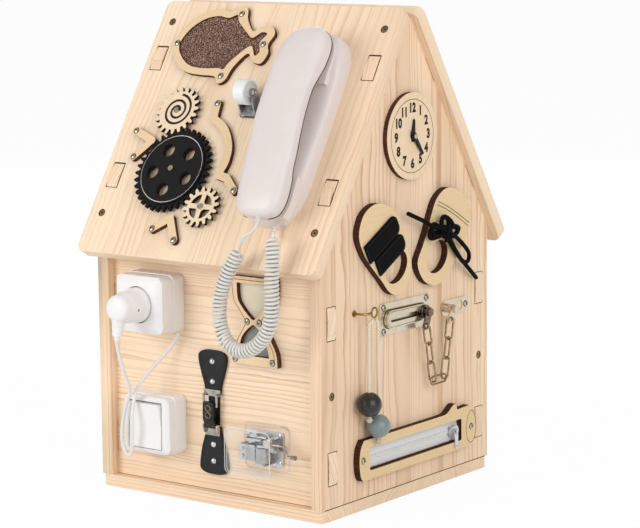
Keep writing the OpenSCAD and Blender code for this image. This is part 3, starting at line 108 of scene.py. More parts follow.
def gable(y, z, h):
    """Point at a height above the right gable."""
    return Vector((GABLE_X + h, y, z)) * MM


# --- camera
IMAGE_W, FOCAL_PX = 640, 2469.65
YAW, DOWN, ROLL = 0.644, 0.155, -0.010
CAMERA_AT = (1624.6, -2118.3, 654.0)


def add_camera():
    """Long lens that looks down on the front right corner."""
    forward = Vector((-math.sin(YAW) * math.cos(DOWN), math.cos(YAW) * math.cos(DOWN), -math.sin(DOWN)))
    level = Vector((math.cos(YAW), math.sin(YAW), 0))
    up = level.cross(forward)
    right = level * math.cos(ROLL) + up * math.sin(ROLL)
    up = up * math.cos(ROLL) - level * math.sin(ROLL)
    data = bpy.data.cameras.new("camera")
    data.sensor_width = 36
    data.lens = FOCAL_PX * data.sensor_width / IMAGE_W
    data.clip_start, data.clip_end = 0.1, 30
    camera = added("camera", data)
    turn = Matrix((right, up, -forward)).transposed().to_4x4()
    camera.matrix_world = Matrix.Translation(Vector(CAMERA_AT) * MM) @ turn
    scene.camera = camera


add_camera()


# --- curves and meshes
def smooth_path(points, steps, closed=False):
    """Catmull-Rom curve through points of any dimension."""
    points = [Vector(p) for p in points]
    n = len(points)
    spans = n if closed else n - 1
    out = []
    for i in range(spans):
        if closed:
            a, b, c, d = (points[(i + k) % n] for k in (-1, 0, 1, 2))
        else:
            a, b, c, d = (points[min(max(i + k, 0), n - 1)] for k in (-1, 0, 1, 2))
        for s in range(steps):
            t = s / steps
            out.append(0.5 * (2 * b + (c - a) * t + (2 * a - 5 * b + 4 * c - d) * t * t
                              + (3 * b - a - 3 * c + d) * t ** 3))
    return out if closed else out + [points[-1]]


def evenly(points, step):
    """The same path, in equal steps."""
    lengths = [0.0]
    for a, b in zip(points, points[1:]):
        lengths.append(lengths[-1] + (b - a).length)
    count = max(2, round(lengths[-1] / step))
    out, k = [], 0
    for i in range(count + 1):
        s = lengths[-1] * i / count
        while k < len(lengths) - 2 and lengths[k + 1] < s:
            k += 1
        t = (s - lengths[k]) / max(lengths[k + 1] - lengths[k], 1e-9)
        out.append(points[k].lerp(points[k + 1], min(max(t, 0), 1)))
    return out


def path_length(points):
    """Length of a path through its points."""
    return sum((b - a).length for a, b in zip(points, points[1:]))


def carried_frames(points):
    """Two normals at each point, turned as little as possible."""
    tangents = [(points[min(i + 1, len(points) - 1)] - points[max(i - 1, 0)]).normalized()
                for i in range(len(points))]
    normal = tangents[0].orthogonal().normalized()
    out = []
    for t in tangents:
        normal = (normal - t * normal.dot(t)).normalized()
        out.append((normal, t.cross(normal)))
    return out


def piece(name, verts, faces, finish, body, slot, stands_for=(), sharp=None, uvs=None):
    """Mesh object on its body. sharp is the angle past which its edges stay sharp; None keeps it flat."""
    mesh = new_mesh(name, verts, faces)
    mesh.validate()
    mesh.materials.append(finish)
    obj = added(name, mesh)
    if uvs is not None:
        layer = mesh.uv_layers.new(name="along")
        for loop in mesh.loops:
            layer.data[loop.index].uv = uvs[loop.vertex_index]
    return settle(obj, body, slot, stands_for, sharp)


def settle(obj, body, slot, stands_for=(), sharp=None):
    """Shades a finished mesh object, seats it on its body and hides the CAD nodes that it stands for."""
    if sharp is not None:
        obj.data.shade_smooth()
        obj.data.set_sharp_from_angle(angle=math.radians(sharp))
    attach(obj, body)
    if stands_for:
        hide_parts(*stands_for)
    return obj


def made_mesh(obj):
    """The object's mesh with its modifiers applied; the object goes."""
    bpy.context.view_layer.update()
    mesh = bpy.data.meshes.new_from_object(obj.evaluated_get(bpy.context.evaluated_depsgraph_get()))
    bpy.data.objects.remove(obj)
    return mesh


def tube(name, points, radius, sides, finish, body, slot, stands_for=()):
    """Closed tube along points; V of its map runs along it in metres."""
    rings, uvs, along = [], [], 0.0
    for i, (p, (n, b)) in enumerate(zip(points, carried_frames(points))):
        if i:
            along += (p - points[i - 1]).length
        rings.append([p + (n * math.cos(a) + b * math.sin(a)) * radius for a in steps_round(sides)])
        uvs += [(k / sides, along) for k in range(sides)]
    return piece(name, *loft(rings), finish, body, slot, stands_for, sharp=50, uvs=uvs)


def ribbon(points, width, closed):
    """Flat 2D ribbon: outer and inner edge points beside a 2D path."""
    n = len(points)
    left, right = [], []
    for i, p in enumerate(points):
        a = points[(i - 1) % n] if closed or i > 0 else p
        b = points[(i + 1) % n] if closed or i < n - 1 else p
        t = (b - a).normalized()
        side = Vector((-t.y, t.x)) * (width / 2)
        left.append(p + side)
        right.append(p - side)
    return left, right


def burnt_lines(name, paths, width, place, height, finish, body, slot="birch_ply"):
    """Thin lines that lie on a face, laser-burnt lines and painted shade alike; paths are (points, closed) in
    the face's mm.
    """
    verts, faces = [], []
    for points, closed in paths:
        points = [Vector(p[:2]) for p in points]
        left, right = ribbon(points, width, closed)
        start = len(verts)
        for l, r in zip(left, right):
            verts += [place(l.x, l.y, height), place(r.x, r.y, height)]
        n = len(points)
        for i in range(n if closed else n - 1):
            a, b = start + 2 * i, start + 2 * ((i + 1) % n)
            faces.append((a, a + 1, b + 1, b))
    piece(name, verts, faces, finish, body, slot)


def loft(sections):
    """Closed skin over rings of equal length, with one face at each end."""
    n = len(sections[0])
    verts = [p for ring in sections for p in ring]
    faces = []
    for i in range(len(sections) - 1):
        for k in range(n):
            a, b = i * n + k, i * n + (k + 1) % n
            faces.append((a, b, b + n, a + n))
    faces.append(tuple(range(n - 1, -1, -1)))
    faces.append(tuple((len(sections) - 1) * n + k for k in range(n)))
    return verts, faces


def free_mesh(bm, name, finish):
    """Mesh of a finish from the edit mesh, which is freed."""
    mesh = bpy.data.meshes.new(name)
    bm.to_mesh(mesh)
    bm.free()
    mesh.materials.append(finish)
    return mesh


def mark_long_runs(bm, limit, least):
    """Bevel weight on sharp edges whose run spans more than least mm, so small holes stay as they are."""
    weight = bm.edges.layers.float.new("bevel_weight_edge")
    sharp = {e for e in bm.edges if len(e.link_faces) == 2 and e.calc_face_angle(0) > math.radians(limit)}
    while sharp:
        run, todo = [], [sharp.pop()]
        while todo:
            edge = todo.pop()
            run.append(edge)
            near = {e for v in edge.verts for e in v.link_edges} & sharp
            sharp -= near
            todo += near
        points = [v.co for e in run for v in e.verts]
        if max(max(p[i] for p in points) - min(p[i] for p in points) for i in range(3)) > least * MM:
            for edge in run:
                edge[weight] = 1.0


def softened(node, finish, slot, bevel, segments, limit, least=0):
    """Copy of a CAD node with its edges rounded, which stands for the node."""
    source = frame["nodes"][node]
    bm = bmesh.new()
    bm.from_mesh(source.data)
    bmesh.ops.remove_doubles(bm, verts=bm.verts, dist=2e-5)
    bmesh.ops.dissolve_degenerate(bm, dist=1e-5, edges=bm.edges)
    bmesh.ops.dissolve_limit(bm, angle_limit=math.radians(0.6), verts=bm.verts, edges=bm.edges)
    mark_long_runs(bm, limit, least)
    raw = added(node + "_raw", free_mesh(bm, node + "_looks", finish))
    mod = raw.modifiers.new("edge", "BEVEL")
    mod.width, mod.segments, mod.limit_method = bevel * MM, segments, "WEIGHT"
    settle(added(node + "_looks", made_mesh(raw)), source["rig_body"], slot, [node], sharp=14)


def repeats(name, places, shape, finish, body, slot, sizes=None):
    """Copies of a small shape at places, by Geometry Nodes. A place is (point, x axis, z axis)."""
    points = new_mesh(name + "_points", [p for p, _, _ in places], [])
    turns = points.attributes.new("turn", "FLOAT_VECTOR", "POINT")
    for i, (_, x_axis, z_axis) in enumerate(places):
        z = Vector(z_axis).normalized()
        x = (Vector(x_axis) - z * z.dot(Vector(x_axis))).normalized()
        turns.data[i].vector = Matrix((x, z.cross(x), z)).transposed().to_euler()
    own_size = points.attributes.new("own_size", "FLOAT", "POINT")
    for i in range(len(places)):
        own_size.data[i].value = sizes[i] if sizes else 1.0
    holder, sample = added(name + "_raw", points), added(name + "_sample", shape)
    tree = bpy.data.node_groups.new(name + "_tree", "GeometryNodeTree")
    sockets = {}
    for label, side, kind in (("Points", "INPUT", "Geometry"), ("Shape", "INPUT", "Object"),
                              ("Size", "INPUT", "Float"), ("Copies", "OUTPUT", "Geometry")):
        sockets[label] = tree.interface.new_socket(
            name=label, in_out=side, socket_type="NodeSocket" + kind).identifier
    new, link = tree.nodes.new, tree.links.new
    start, end = new("NodeGroupInput"), new("NodeGroupOutput")
    info, spread = new("GeometryNodeObjectInfo"), new("GeometryNodeInstanceOnPoints")
    turn, grow = new("GeometryNodeInputNamedAttribute"), new("GeometryNodeInputNamedAttribute")
    turn.data_type, grow.data_type = "FLOAT_VECTOR", "FLOAT"
    turn.inputs["Name"].default_value = "turn"
    grow.inputs["Name"].default_value = "own_size"
    times = new("ShaderNodeMath")
    times.operation = "MULTIPLY"
    real, dress = new("GeometryNodeRealizeInstances"), new("GeometryNodeSetMaterial")
    dress.inputs["Material"].default_value = finish
    link(start.outputs["Points"], spread.inputs["Points"])
    link(start.outputs["Shape"], info.inputs["Object"])
    link(info.outputs["Geometry"], spread.inputs["Instance"])
    link(turn.outputs["Attribute"], spread.inputs["Rotation"])
    link(start.outputs["Size"], times.inputs[0])
    link(grow.outputs["Attribute"], times.inputs[1])
    link(times.outputs[0], spread.inputs["Scale"])
    link(spread.outputs[0], real.inputs[0])
    link(real.outputs[0], dress.inputs[0])
    link(dress.outputs[0], end.inputs[0])
    mod = holder.modifiers.new("copies", "NODES")
    mod.node_group = tree
    mod[sockets["Shape"]], mod[sockets["Size"]] = sample, 1.0
    obj = added(name, made_mesh(holder))
    bpy.data.objects.remove(sample)
    obj.data.materials.clear()
    obj.data.materials.append(finish)
    settle(obj, body, slot, sharp=40)


# --- shader maths
def linear(hexa):
    """Linear colour of a hex string."""
    levels = [int(hexa[i:i + 2], 16) / 255 for i in (0, 2, 4)]
    return (*(c / 12.92 if c <= 0.04045 else ((c + 0.055) / 1.055) ** 2.4 for c in levels), 1.0)


class Wire:
    """A shader value that can be reckoned with."""

    def __init__(self, finish, socket):
        self.finish, self.socket = finish, socket

    def _math(self, op, *others, clamp=False):
        node = self.finish.node("ShaderNodeMath", operation=op, use_clamp=clamp)
        for i, value in enumerate((self, *others)):
            self.finish.feed(node.inputs[i], value)
        return Wire(self.finish, node.outputs[0])

    def __add__(self, o): return self._math("ADD", o)
    __radd__ = __add__
    def __sub__(self, o): return self._math("SUBTRACT", o)
    def __rsub__(self, o): return (self * -1) + o
    def __mul__(self, o): return self._math("MULTIPLY", o)
    __rmul__ = __mul__
    def __truediv__(self, o): return self._math("DIVIDE", o)
    def __gt__(self, o): return self._math("GREATER_THAN", o)
    def __lt__(self, o): return self._math("LESS_THAN", o)
    def power(self, o): return self._math("POWER", o)
    def floor(self): return self._math("FLOOR")
    def fract(self): return self._math("FRACT")
    def sin(self): return self._math("SINE")
    def abs(self): return self._math("ABSOLUTE")
    def root(self): return self._math("SQRT")
    def most(self, o): return self._math("MAXIMUM", o)
    def clamp(self): return self._math("ADD", 0.0, clamp=True)

    def rise(self, low, high):
        """0 below low, 1 above high, smooth between."""
        node = self.finish.node("ShaderNodeMapRange", interpolation_type="SMOOTHSTEP")
        self.finish.feed(node.inputs[0], self)
        node.inputs[1].default_value, node.inputs[2].default_value = low, high
        return Wire(self.finish, node.outputs[0])


class Finish:
    """A procedural material on one Principled shader."""

    def __init__(self, name, color=None, *, roughness, metallic=0.0, **fixed):
        self.material = bpy.data.materials.new(name)
        self.material.use_nodes = True
        self.tree = self.material.node_tree
        self.shader = self.tree.nodes["Principled BSDF"]
        self.shader.inputs["Roughness"].default_value = roughness
        self.shader.inputs["Metallic"].default_value = metallic
        if color:
            self.shader.inputs["Base Color"].default_value = linear(color)
        for key, value in fixed.items():
            self.shader.inputs[key.replace("_", " ")].default_value = value

    def node(self, kind, **props):
        node = self.tree.nodes.new(kind)
        for key, value in props.items():
            setattr(node, key, value)
        return node

    def feed(self, socket, value):
        if isinstance(value, Wire):
            value = value.socket
        if isinstance(value, bpy.types.NodeSocket):
            self.tree.links.new(value, socket)
        else:
            socket.default_value = value

    def place(self):
        """Object coordinates in mm."""
        if not hasattr(self, "_place"):
            self._place = self.scaled(self.node("ShaderNodeTexCoord").outputs["Object"], 1 / MM)
        return self._place

    def dot(self, value, axis):
        """Dot product of a socket with a fixed axis."""
        node = self.node("ShaderNodeVectorMath", operation="DOT_PRODUCT")
        self.feed(node.inputs[0], value)
        node.inputs[1].default_value = axis
        return Wire(self, node.outputs["Value"])

    def along(self, axis, start=(0, 0, 0)):
        """Distance in mm along an axis from a starting point in mm."""
        return self.dot(self.place(), axis) - Vector(axis).dot(Vector(start))

    def uv(self):
        """Share of the way round a cord, and mm along it."""
        node = self.node("ShaderNodeUVMap", uv_map="along")
        split = self.node("ShaderNodeSeparateXYZ")
        self.feed(split.inputs[0], node.outputs[0])
        return Wire(self, split.outputs[0]), Wire(self, split.outputs[1]) * 1000

    def facing(self, axis):
        """Cosine between the true surface and an axis."""
        return self.dot(self.node("ShaderNodeNewGeometry").outputs["True Normal"], axis)

    def vector(self, x, y, z):
        node = self.node("ShaderNodeCombineXYZ")
        for i, value in enumerate((x, y, z)):
            self.feed(node.inputs[i], value)
        return node.outputs[0]

    def noise(self, scale, detail=3.0, rough=0.5, at=None):
        """Noise over mm coordinates; scale is features per mm."""
        node = self.node("ShaderNodeTexNoise")
        self.feed(node.inputs["Vector"], self.place() if at is None else at)
        node.inputs["Scale"].default_value = scale
        node.inputs["Detail"].default_value = detail
        node.inputs["Roughness"].default_value = rough
        return Wire(self, node.outputs[0])

    def cells(self, scale):
        """Distance to the middle of the nearest cell; scale is cells per mm."""
        node = self.node("ShaderNodeTexVoronoi", feature="F1")
        self.feed(node.inputs["Vector"], self.place())
        node.inputs["Scale"].default_value = scale
        return Wire(self, node.outputs["Distance"])

    def chance(self, value, seed):
        """A fixed random number for each whole value."""
        node = self.node("ShaderNodeTexWhiteNoise", noise_dimensions="2D")
        self.feed(node.inputs["Vector"], self.vector(value, seed, 0.0))
        return Wire(self, node.outputs["Value"])

    def mix(self, share, a, b):
        """Colour between a and b, each a hex string or a socket."""
        node = self.node("ShaderNodeMix", data_type="RGBA")
        self.feed(node.inputs[0], share)
        self.feed(node.inputs[6], linear(a) if isinstance(a, str) else a)
        self.feed(node.inputs[7], linear(b) if isinstance(b, str) else b)
        return node.outputs[2]

    def scaled(self, color, value):
        """Colour or vector times a value."""
        node = self.node("ShaderNodeVectorMath", operation="SCALE")
        self.feed(node.inputs[0], color)
        self.feed(node.inputs["Scale"], value)
        return node.outputs[0]

    def made(self, color, rough=None, height=None, depth=0.0, strength=0.0):
        """The material, with its colour, its roughness and the bump of a height of 0 to 1, depth in mm."""
        for key, value in (("Base Color", color), ("Roughness", rough)):
            if value is not None:
                self.feed(self.shader.inputs[key], value)
        if height is not None:
            node = self.node("ShaderNodeBump")
            node.inputs["Strength"].default_value = strength
            node.inputs["Distance"].default_value = depth * MM
            self.feed(node.inputs["Height"], height)
            self.feed(self.shader.inputs["Normal"], node.outputs[0])
        return self.material


# --- finishes
X, Y, Z = (1, 0, 0), (0, 1, 0), (0, 0, 1)
UP_ROOF = (0, CP, SP)
OFF_ROOF = (0, -SP, CP)
UP_REAR = (0, -CP, SP)
OFF_REAR = (0, SP, CP)


def pine(name, grain, across, through, strip, seed, light="f8dfc1", dark="cd9d73", pitch=3.2, lines=1.0):
    """Edge-glued pine: each strip is sawn from its own log, its growth lines almost straight."""
    f = Finish(name, roughness=0.55, Specular_IOR_Level=0.3)
    g, w, t = f.along(grain), f.along(across), f.along(through)
    shift = 500 + seed * 17
    row = ((w + shift) / strip).floor()
    luck, luck2, luck3 = f.chance(row, seed), f.chance(row, seed + 3.7), f.chance(row, seed + 9.1)
    middle = (row + 0.5) * strip - shift
    bend = f.noise(1.0, 2.0, at=f.vector(g * 0.0035, row * 7.3 + seed, w * 0.004)) - 0.5
    wander = f.noise(1.0, 3.0, at=f.vector(g * 0.012, w * 0.03, row * 3.1)) - 0.5
    side = w - middle + ((luck > 0.4) * 2 - 1) * (luck2 * 46 + strip * 0.6) + bend * 12
    below = t + 9 + luck3 * 20 + bend * 8
    radius = (side * side + below * below).root() + wander * 2.6
    gap = f.noise(1.0, 1.0, at=f.vector(radius * 0.05, row * 5.1, seed)) * 0.5 + 0.75
    ring = (radius / pitch * gap).fract()
    late = ring.power(3.4) * (1 - ring.rise(0.93, 1.0))
    strong = f.noise(1.0, 2.0, at=f.vector(g * 0.004, radius * 0.12, row * 2.7)).rise(0.3, 0.72)
    fibre = f.noise(1.0, 4.0, 0.65, at=f.vector(g * 0.02, w * 1.1, t * 1.1))
    cloud = f.noise(1.0, 2.0, at=f.vector(g * 0.006, w * 0.03, t * 0.03))
    ink = (late * (0.3 + strong * 0.6) * lines + (fibre - 0.5) * 0.5 + (luck3 - 0.5) * 0.2
           + (cloud - 0.5) * 0.3 + 0.08).clamp()
    seam = 1 - (((w + shift) / strip).fract() - 0.5).abs().rise(0.4955, 0.4995) * 0.2
    pores = f.noise(1.0, 1.0, at=f.vector(g * 0.05, w * 2.6, t * 2.6)).rise(0.62, 0.8) * 0.14
    return f.made(f.scaled(f.mix(ink, light, dark), seam - pores),
                  0.5 + fibre * 0.14, fibre * 0.6 + late * 0.4, 0.12, 0.5)


PINE = {
    "base_board": pine("pine_base", X, Y, Z, 62, 1),
    "front_wall": pine("pine_front", X, Z, Y, 52, 2, "fbe2c4", "cf9c71", 4.6, 0.95),
    "rear_wall": pine("pine_rear", X, Z, Y, 52, 3),
    "gable_right": pine("pine_gable_right", Z, Y, X, 44, 4, "f8dcbd", "c29168", 3.0, 0.95),
    "gable_left": pine("pine_gable_left", Z, Y, X, 44, 5, "f8dcbd", "c29168", 3.0, 0.95),
    "roof_front": pine("pine_roof_front", UP_ROOF, X, OFF_ROOF, 60, 6, "f8dfc1", "cd9d72", 4.4, 0.7),
    "roof_rear": pine("pine_roof_rear", UP_REAR, X, OFF_REAR, 60, 7, "f8dfc1", "cd9d72", 4.4, 0.7),
}


def laser_ply(name, off, start, top, grain, seed, face, grooves=False, soot=("27100a", "74402a")):
    """Thin birch plywood cut by laser: pale face, burnt brown edges, and burnt floors of its grooves."""
    f = Finish(name, roughness=0.55, Specular_IOR_Level=0.3)
    h, g, w = f.along(off, start), f.along(grain), f.along(tuple(Vector(off).cross(Vector(grain))))
    streak = f.noise(1.0, 4.0, 0.6, at=f.vector(g * 0.03 + seed, w * 0.7, h * 0.3))
    fleck = f.noise(1.0, 1.0, at=f.vector(g * 0.3, w * 2.4, seed)).rise(0.66, 0.78)
    bare = f.mix((streak * 0.9 - 0.1 + fleck * 0.18).clamp(), face, "dcb886")
    edge = 1 - f.facing(off).abs().rise(0.72, 0.97)
    if grooves:
        edge = edge.most((h < top - 0.12) * (h > 0.4))
    layer = (h * 2.1 + f.noise(0.15) * 0.5).sin() * 0.5 + 0.5
    char = f.noise(1.0, 3.0, 0.6, at=f.vector(g * 0.55, w * 0.55, h * 0.06)) * 1.7 - 0.55 + layer * 0.22
    return f.made(f.mix(edge, bare, f.mix(char.clamp(), *soot)), 0.5 + edge * 0.3, streak, 0.08, 0.4)


roof_at = tuple(roof(0, 0, 0) / MM)
front_at = (0, FRONT_Y, 0)
gable_at = (GABLE_X, 0, 0)
OFF_FRONT = (0, -1, 0)
ply_fish = laser_ply("ply_fish", OFF_ROOF, roof_at, THIN_PLY, X, 1, "ecd2ae")
ply_bars = laser_ply("ply_bars", OFF_ROOF, roof_at, THIN_PLY, X, 2, "eed4b0")
ply_gears = laser_ply("ply_gears", OFF_ROOF, roof_at, GEAR_PLY, UP_ROOF, 3, "f5e2c9", True,
                      ("150b08", "3a2118"))
ply_hourglass = laser_ply("ply_hourglass", OFF_FRONT, front_at, GLASS_PLY, Z, 4, "f3dab8")
ply_clock = laser_ply("ply_clock", X, gable_at, CLOCK_PLY, Z, 5, "f6dfc4", True)
DEEP_SOOT = ("1c0a06", "5f3322")
ply_shoes = laser_ply("ply_shoes", X, gable_at, SHOE_PLY, Y, 6, "eed5ac", soot=DEEP_SOOT)
ply_zipper = laser_ply("ply_zipper", X, gable_at, SHOE_PLY, Y, 7, "ead1a6", soot=DEEP_SOOT)


def burnt_ink(name, deep, pale):
    """Soot of a burnt line, which also serves as painted shade."""
    f = Finish(name, roughness=0.8)
    return f.made(f.mix(f.noise(0.8, 3.0), deep, pale))


# burnt draws the laser-burnt lines, and also painted shade: in the gaps round the tabs and under the walls,
# round the screw heads and on the chain plate.
burnt = burnt_ink("burn_and_shade_line", "2c160c", "63402a")
char = burnt_ink("char_line", "0d0706", "2b1912")


def black_wood(name, off, start, top):
    """Black stained ply with its rim line cut through to the pale wood."""
    f = Finish(name, roughness=0.55, Specular_IOR_Level=0.2)
    h = f.along(off, start)
    grain = f.noise(1.0, 4.0, 0.6, at=f.vector(f.along(X) * 1.2, f.along(UP_ROOF) * 0.06, 0.0))
    stain = f.mix(grain, "060506", "171517")
    line = (h < top - 0.12) * (h > top - 0.9) * f.facing(off).rise(0.8, 0.95)
    return f.made(f.mix(line, stain, "fbf3e4"), 0.46 + grain * 0.2, grain, 0.06, 0.4)


black_gear = black_wood("black_gear", OFF_ROOF, roof_at, 9)


def black_hand():
    """Matt black paint of hands and numerals."""
    f = Finish("black_hand", roughness=0.5, Specular_IOR_Level=0.25)
    return f.made(f.mix(f.noise(0.6, 3.0), "050506", "121214"), None, f.noise(2.0, 2.0), 0.02, 0.3)


def metal(name, light, dark, roughness, scale=0.12, wear=0.5, metallic=1.0):
    """Cast or plated metal with soft clouds of wear."""
    f = Finish(name, roughness=roughness, metallic=metallic)
    cloud = f.noise(scale, 4.0, 0.6)
    return f.made(f.mix((cloud * 1.4 - 0.2).clamp(), dark, light),
                  roughness - 0.08 + cloud * 0.2 * wear, f.noise(3.0, 2.0), 0.01, 0.25)


steel = metal("steel", "c9c9cb", "8b8c90", 0.34)
bright = metal("bright_steel", "e0e0e2", "a9aaad", 0.2)
screw_zinc = metal("screw_zinc", "e0d7c5", "958974", 0.3, 0.3)
screw_yellow = metal("screw_yellow", "c9ac72", "735a33", 0.34, 0.3)
bronze = metal("satin_nickel", "eadfcb", "c6b99f", 0.3, 0.05, 0.3)
chain_metal = metal("chain_metal", "c6b18c", "6d5c42", 0.26, 0.3)
dark_bronze = metal("dark_bronze", "a0927b", "463e33", 0.28, 0.3)
clasp_nickel = metal("clasp_nickel", "d3cec6", "77716a", 0.24, 0.1)
clasp_dark = metal("clasp_dark", "4d4946", "151413", 0.25, 0.25)


def works():
    """Movement of the music box: bright bed plate and comb, darker between them up to the tops of the blocks,
    partly the blocks' own darker metal and partly painted shade in the movement's depths.
    """
    f = Finish("works_metal", roughness=0.26, metallic=1.0)
    h = f.along(OFF_FRONT, front_at)
    cloud = f.noise(0.05, 4.0, 0.6)
    bed_top, block_top = 3.2, 14.9
    block = f.mix(cloud, "3f4044", "8b8c90")
    sheet = f.mix(cloud, "b4b4b8", "dcdcde")
    # Darker between bed_top and block_top: partly painted shade.
    return f.made(f.mix((h > bed_top) * (h < block_top), sheet, block),
                  0.2 + cloud * 0.16, f.noise(3.0, 2.0), 0.01, 0.25)


works_metal = works()
yellow_brass = metal("yellow_brass", "c2a366", "6d5430", 0.3, 0.2)
zip_metal = metal("zip_metal", "eeeef0", "bdbdc2", 0.34, metallic=0.7)
drum_metal = metal("drum_metal", "cfcfd2", "85868a", 0.24, 0.05)
crank_steel = metal("crank_steel", "cbc6bf", "6e6964", 0.24, 0.3)


def plastic(name, tone, deep, roughness):
    """Moulded plastic with a faint orange peel."""
    f = Finish(name, roughness=roughness, Specular_IOR_Level=0.5)
    peel = f.noise(1.1, 3.0)
    return f.made(f.mix(f.noise(0.03, 2.0), tone, deep),
                  roughness - 0.025 + peel * 0.05, peel, 0.02, 0.3)


white_plastic = plastic("white_plastic", "f4f2f1", "eae8e8", 0.32)
phone_plastic = plastic("phone_plastic", "e4dad7", "dbd1cd", 0.36)
cord_plastic = plastic("cord_plastic", "e4e2dd", "d4d2cc", 0.45)
plug_cord_plastic = plastic("plug_cord_plastic", "eeece8", "e0ddd8", 0.45)
# Dark plastic of the line round the handset: painted shade.
painted_seam_shade = plastic("painted_seam_shade", "322e2d", "211e1d", 0.7)
wheel_plastic = plastic("wheel_plastic", "f2f5f4", "e2e8e8", 0.32)
recess_shade = plastic("recess_shade", "2b2a2c", "1d1c1e", 0.6)


def clear_plastic():
    """Clear plastic whose pale colour shows more towards its rims: painted reflection at glancing angles."""
    f = Finish("clear_plastic", "f4f3f1", roughness=0.05, IOR=1.49, Specular_IOR_Level=0.6)
    rim = f.node("ShaderNodeLayerWeight")
    rim.inputs["Blend"].default_value = 0.35
    facing = Wire(f, rim.outputs["Facing"])
    # More opaque white at glancing angles: painted reflection.
    f.feed(f.shader.inputs["Alpha"], (facing.power(3.0) * 0.5 + 0.05).clamp())
    return f.material


def clear_edge():
    """Painted highlight along the rims of the clear plastic."""
    f = Finish("clear_edge", "fbfaf8", roughness=0.12, Alpha=0.5)
    return f.made(None, 0.1 + f.noise(0.5) * 0.1)


clear_case, case_rim_highlight = clear_plastic(), clear_edge()


def leather():
    """Black leather with a fine pebble."""
    f = Finish("black_leather", roughness=0.46, Specular_IOR_Level=0.32)
    pebble = f.cells(1.1) * 0.6 + f.noise(0.7, 4.0, 0.6) * 0.7
    return f.made(f.mix((f.noise(0.12, 3.0) * 1.4 - 0.2).clamp(), "070708", "19181a"),
                  0.38 + f.noise(0.4) * 0.22, pebble, 0.16, 0.6)


STRAP_TURN, STRAP_FOOT, STRAP_T = 28, 8.45, 2.9


def webbing(name, deep, pale):
    """Woven webbing: ribs one way and threads the other."""
    pitch = 1.1
    f = Finish(name, roughness=0.85, Specular_IOR_Level=0.1)
    c, s = math.cos(math.radians(STRAP_TURN)), math.sin(math.radians(STRAP_TURN))
    a, b = f.along((0, c, s)), f.along((0, -s, c))
    rib = (a * (math.tau / pitch)).sin() * 0.5 + 0.5
    thread = (b * (math.tau / (pitch * 0.7)) + (a / pitch).floor() * math.pi).sin() * 0.5 + 0.5
    weave = rib * 0.5 + thread * 0.5
    return f.made(f.mix((weave * 0.7 + f.noise(0.4) * 0.4).clamp(), deep, pale), None, weave, 0.3, 0.7)


def twisted(name, deep, pale, lay, strands):
    """Twisted or braided cord, on the piece's own map."""
    f = Finish(name, roughness=0.85, Specular_IOR_Level=0.12)
    u, v = f.uv()
    twist = ((u * strands + v / lay) * math.tau).sin() * 0.5 + 0.5
    fuzz = f.noise(2.5, 3.0)
    return f.made(f.mix((twist * 0.75 + fuzz * 0.35 - 0.1).clamp(), deep, pale),
                  None, twist * 0.8 + fuzz * 0.2, 0.35, 0.8)


def thread_finish():
    """Black sewing thread."""
    f = Finish("stitch_thread", roughness=0.75)
    return f.made(f.mix(f.noise(1.5, 2.0), "0c0c0e", "2c2c30"), None, f.noise(4.0, 2.0), 0.05, 0.5)


black_leather, stitch = leather(), thread_finish()
strap_web = webbing("strap_web", "030303", "111114")
lace_braid = twisted("lace_braid", "020202", "111113", 3.2, 4)
string_twist = twisted("string_twist", "d6c7ac", "fbf5e8", 3.4, 3)


def bead_paint(name, deep, pale):
    """Painted wood with its grain just showing."""
    f = Finish(name, roughness=0.32, Coat_Weight=0.25, Coat_Roughness=0.2)
    grain = f.noise(1.0, 4.0, 0.6, at=f.vector(f.along(X) * 0.5, f.along(Y) * 0.5, f.along(Z) * 0.05))
    return f.made(f.mix(grain, deep, pale), 0.28 + grain * 0.16, grain, 0.05, 0.4)


bead_black = bead_paint("bead_black_paint", "070609", "19171c")
bead_grey = bead_paint("bead_grey_paint", "727d80", "8b9799")


def fur_finish(name, deep, pale):
    """Brown plush pile."""
    f = Finish(name, roughness=0.7, Specular_IOR_Level=0.25, Sheen_Weight=0.08)
    return f.made(f.mix((f.noise(0.3, 4.0, 0.75) * 3.0 - 1.0).clamp(), deep, pale),
                  0.4 + f.noise(1.2) * 0.4, f.noise(1.6, 3.0), 0.5, 0.8)


# The pad under the pile is darker than the tufts: painted shade under the pile.
fur_root_shade = fur_finish("fur_root_shade", "4c2f25", "8f6250")
fur_tip = fur_finish("fur_tip", "8a5a49", "efc3af")


def pane_finish():
    """Cream film in the upper lobe, silver glitter in the lower one."""
    f = Finish("pane_film", roughness=0.5)
    high = f.along(Z) > GLASS_Z + 1
    glitter = f.mix((f.cells(1.6) * 1.6).clamp(), "413e3d", "8f8c89")
    grit = f.noise(1.8, 3.0)
    film = f.mix(f.noise(0.06, 3.0), "eee4cf", "dfd2b6")
    return f.made(f.mix(high, f.mix(grit.rise(0.56, 0.7), glitter, "ccc9c5"), film),
                  0.32 + grit * 0.4, grit, 0.25, 0.6)


pane_film = pane_finish()


def tape_cloth():
    """White woven tape, ribbed both ways."""
    f = Finish("tape_cloth", roughness=0.85, Sheen_Weight=0.2)
    y, z = f.along(Y), f.along(Z)
    rib = ((z * math.tau).sin() * 0.5 + 0.5) * ((y * (math.tau / 0.8)).sin() * 0.25 + 0.75)
    return f.made(f.mix(rib, "d9d9d8", "f6f6f5"), None, rib, 0.2, 0.6)


tape_weave = tape_cloth()
tooth_plastic = plastic("tooth_plastic", "f4f4f4", "e6e6e6", 0.35)


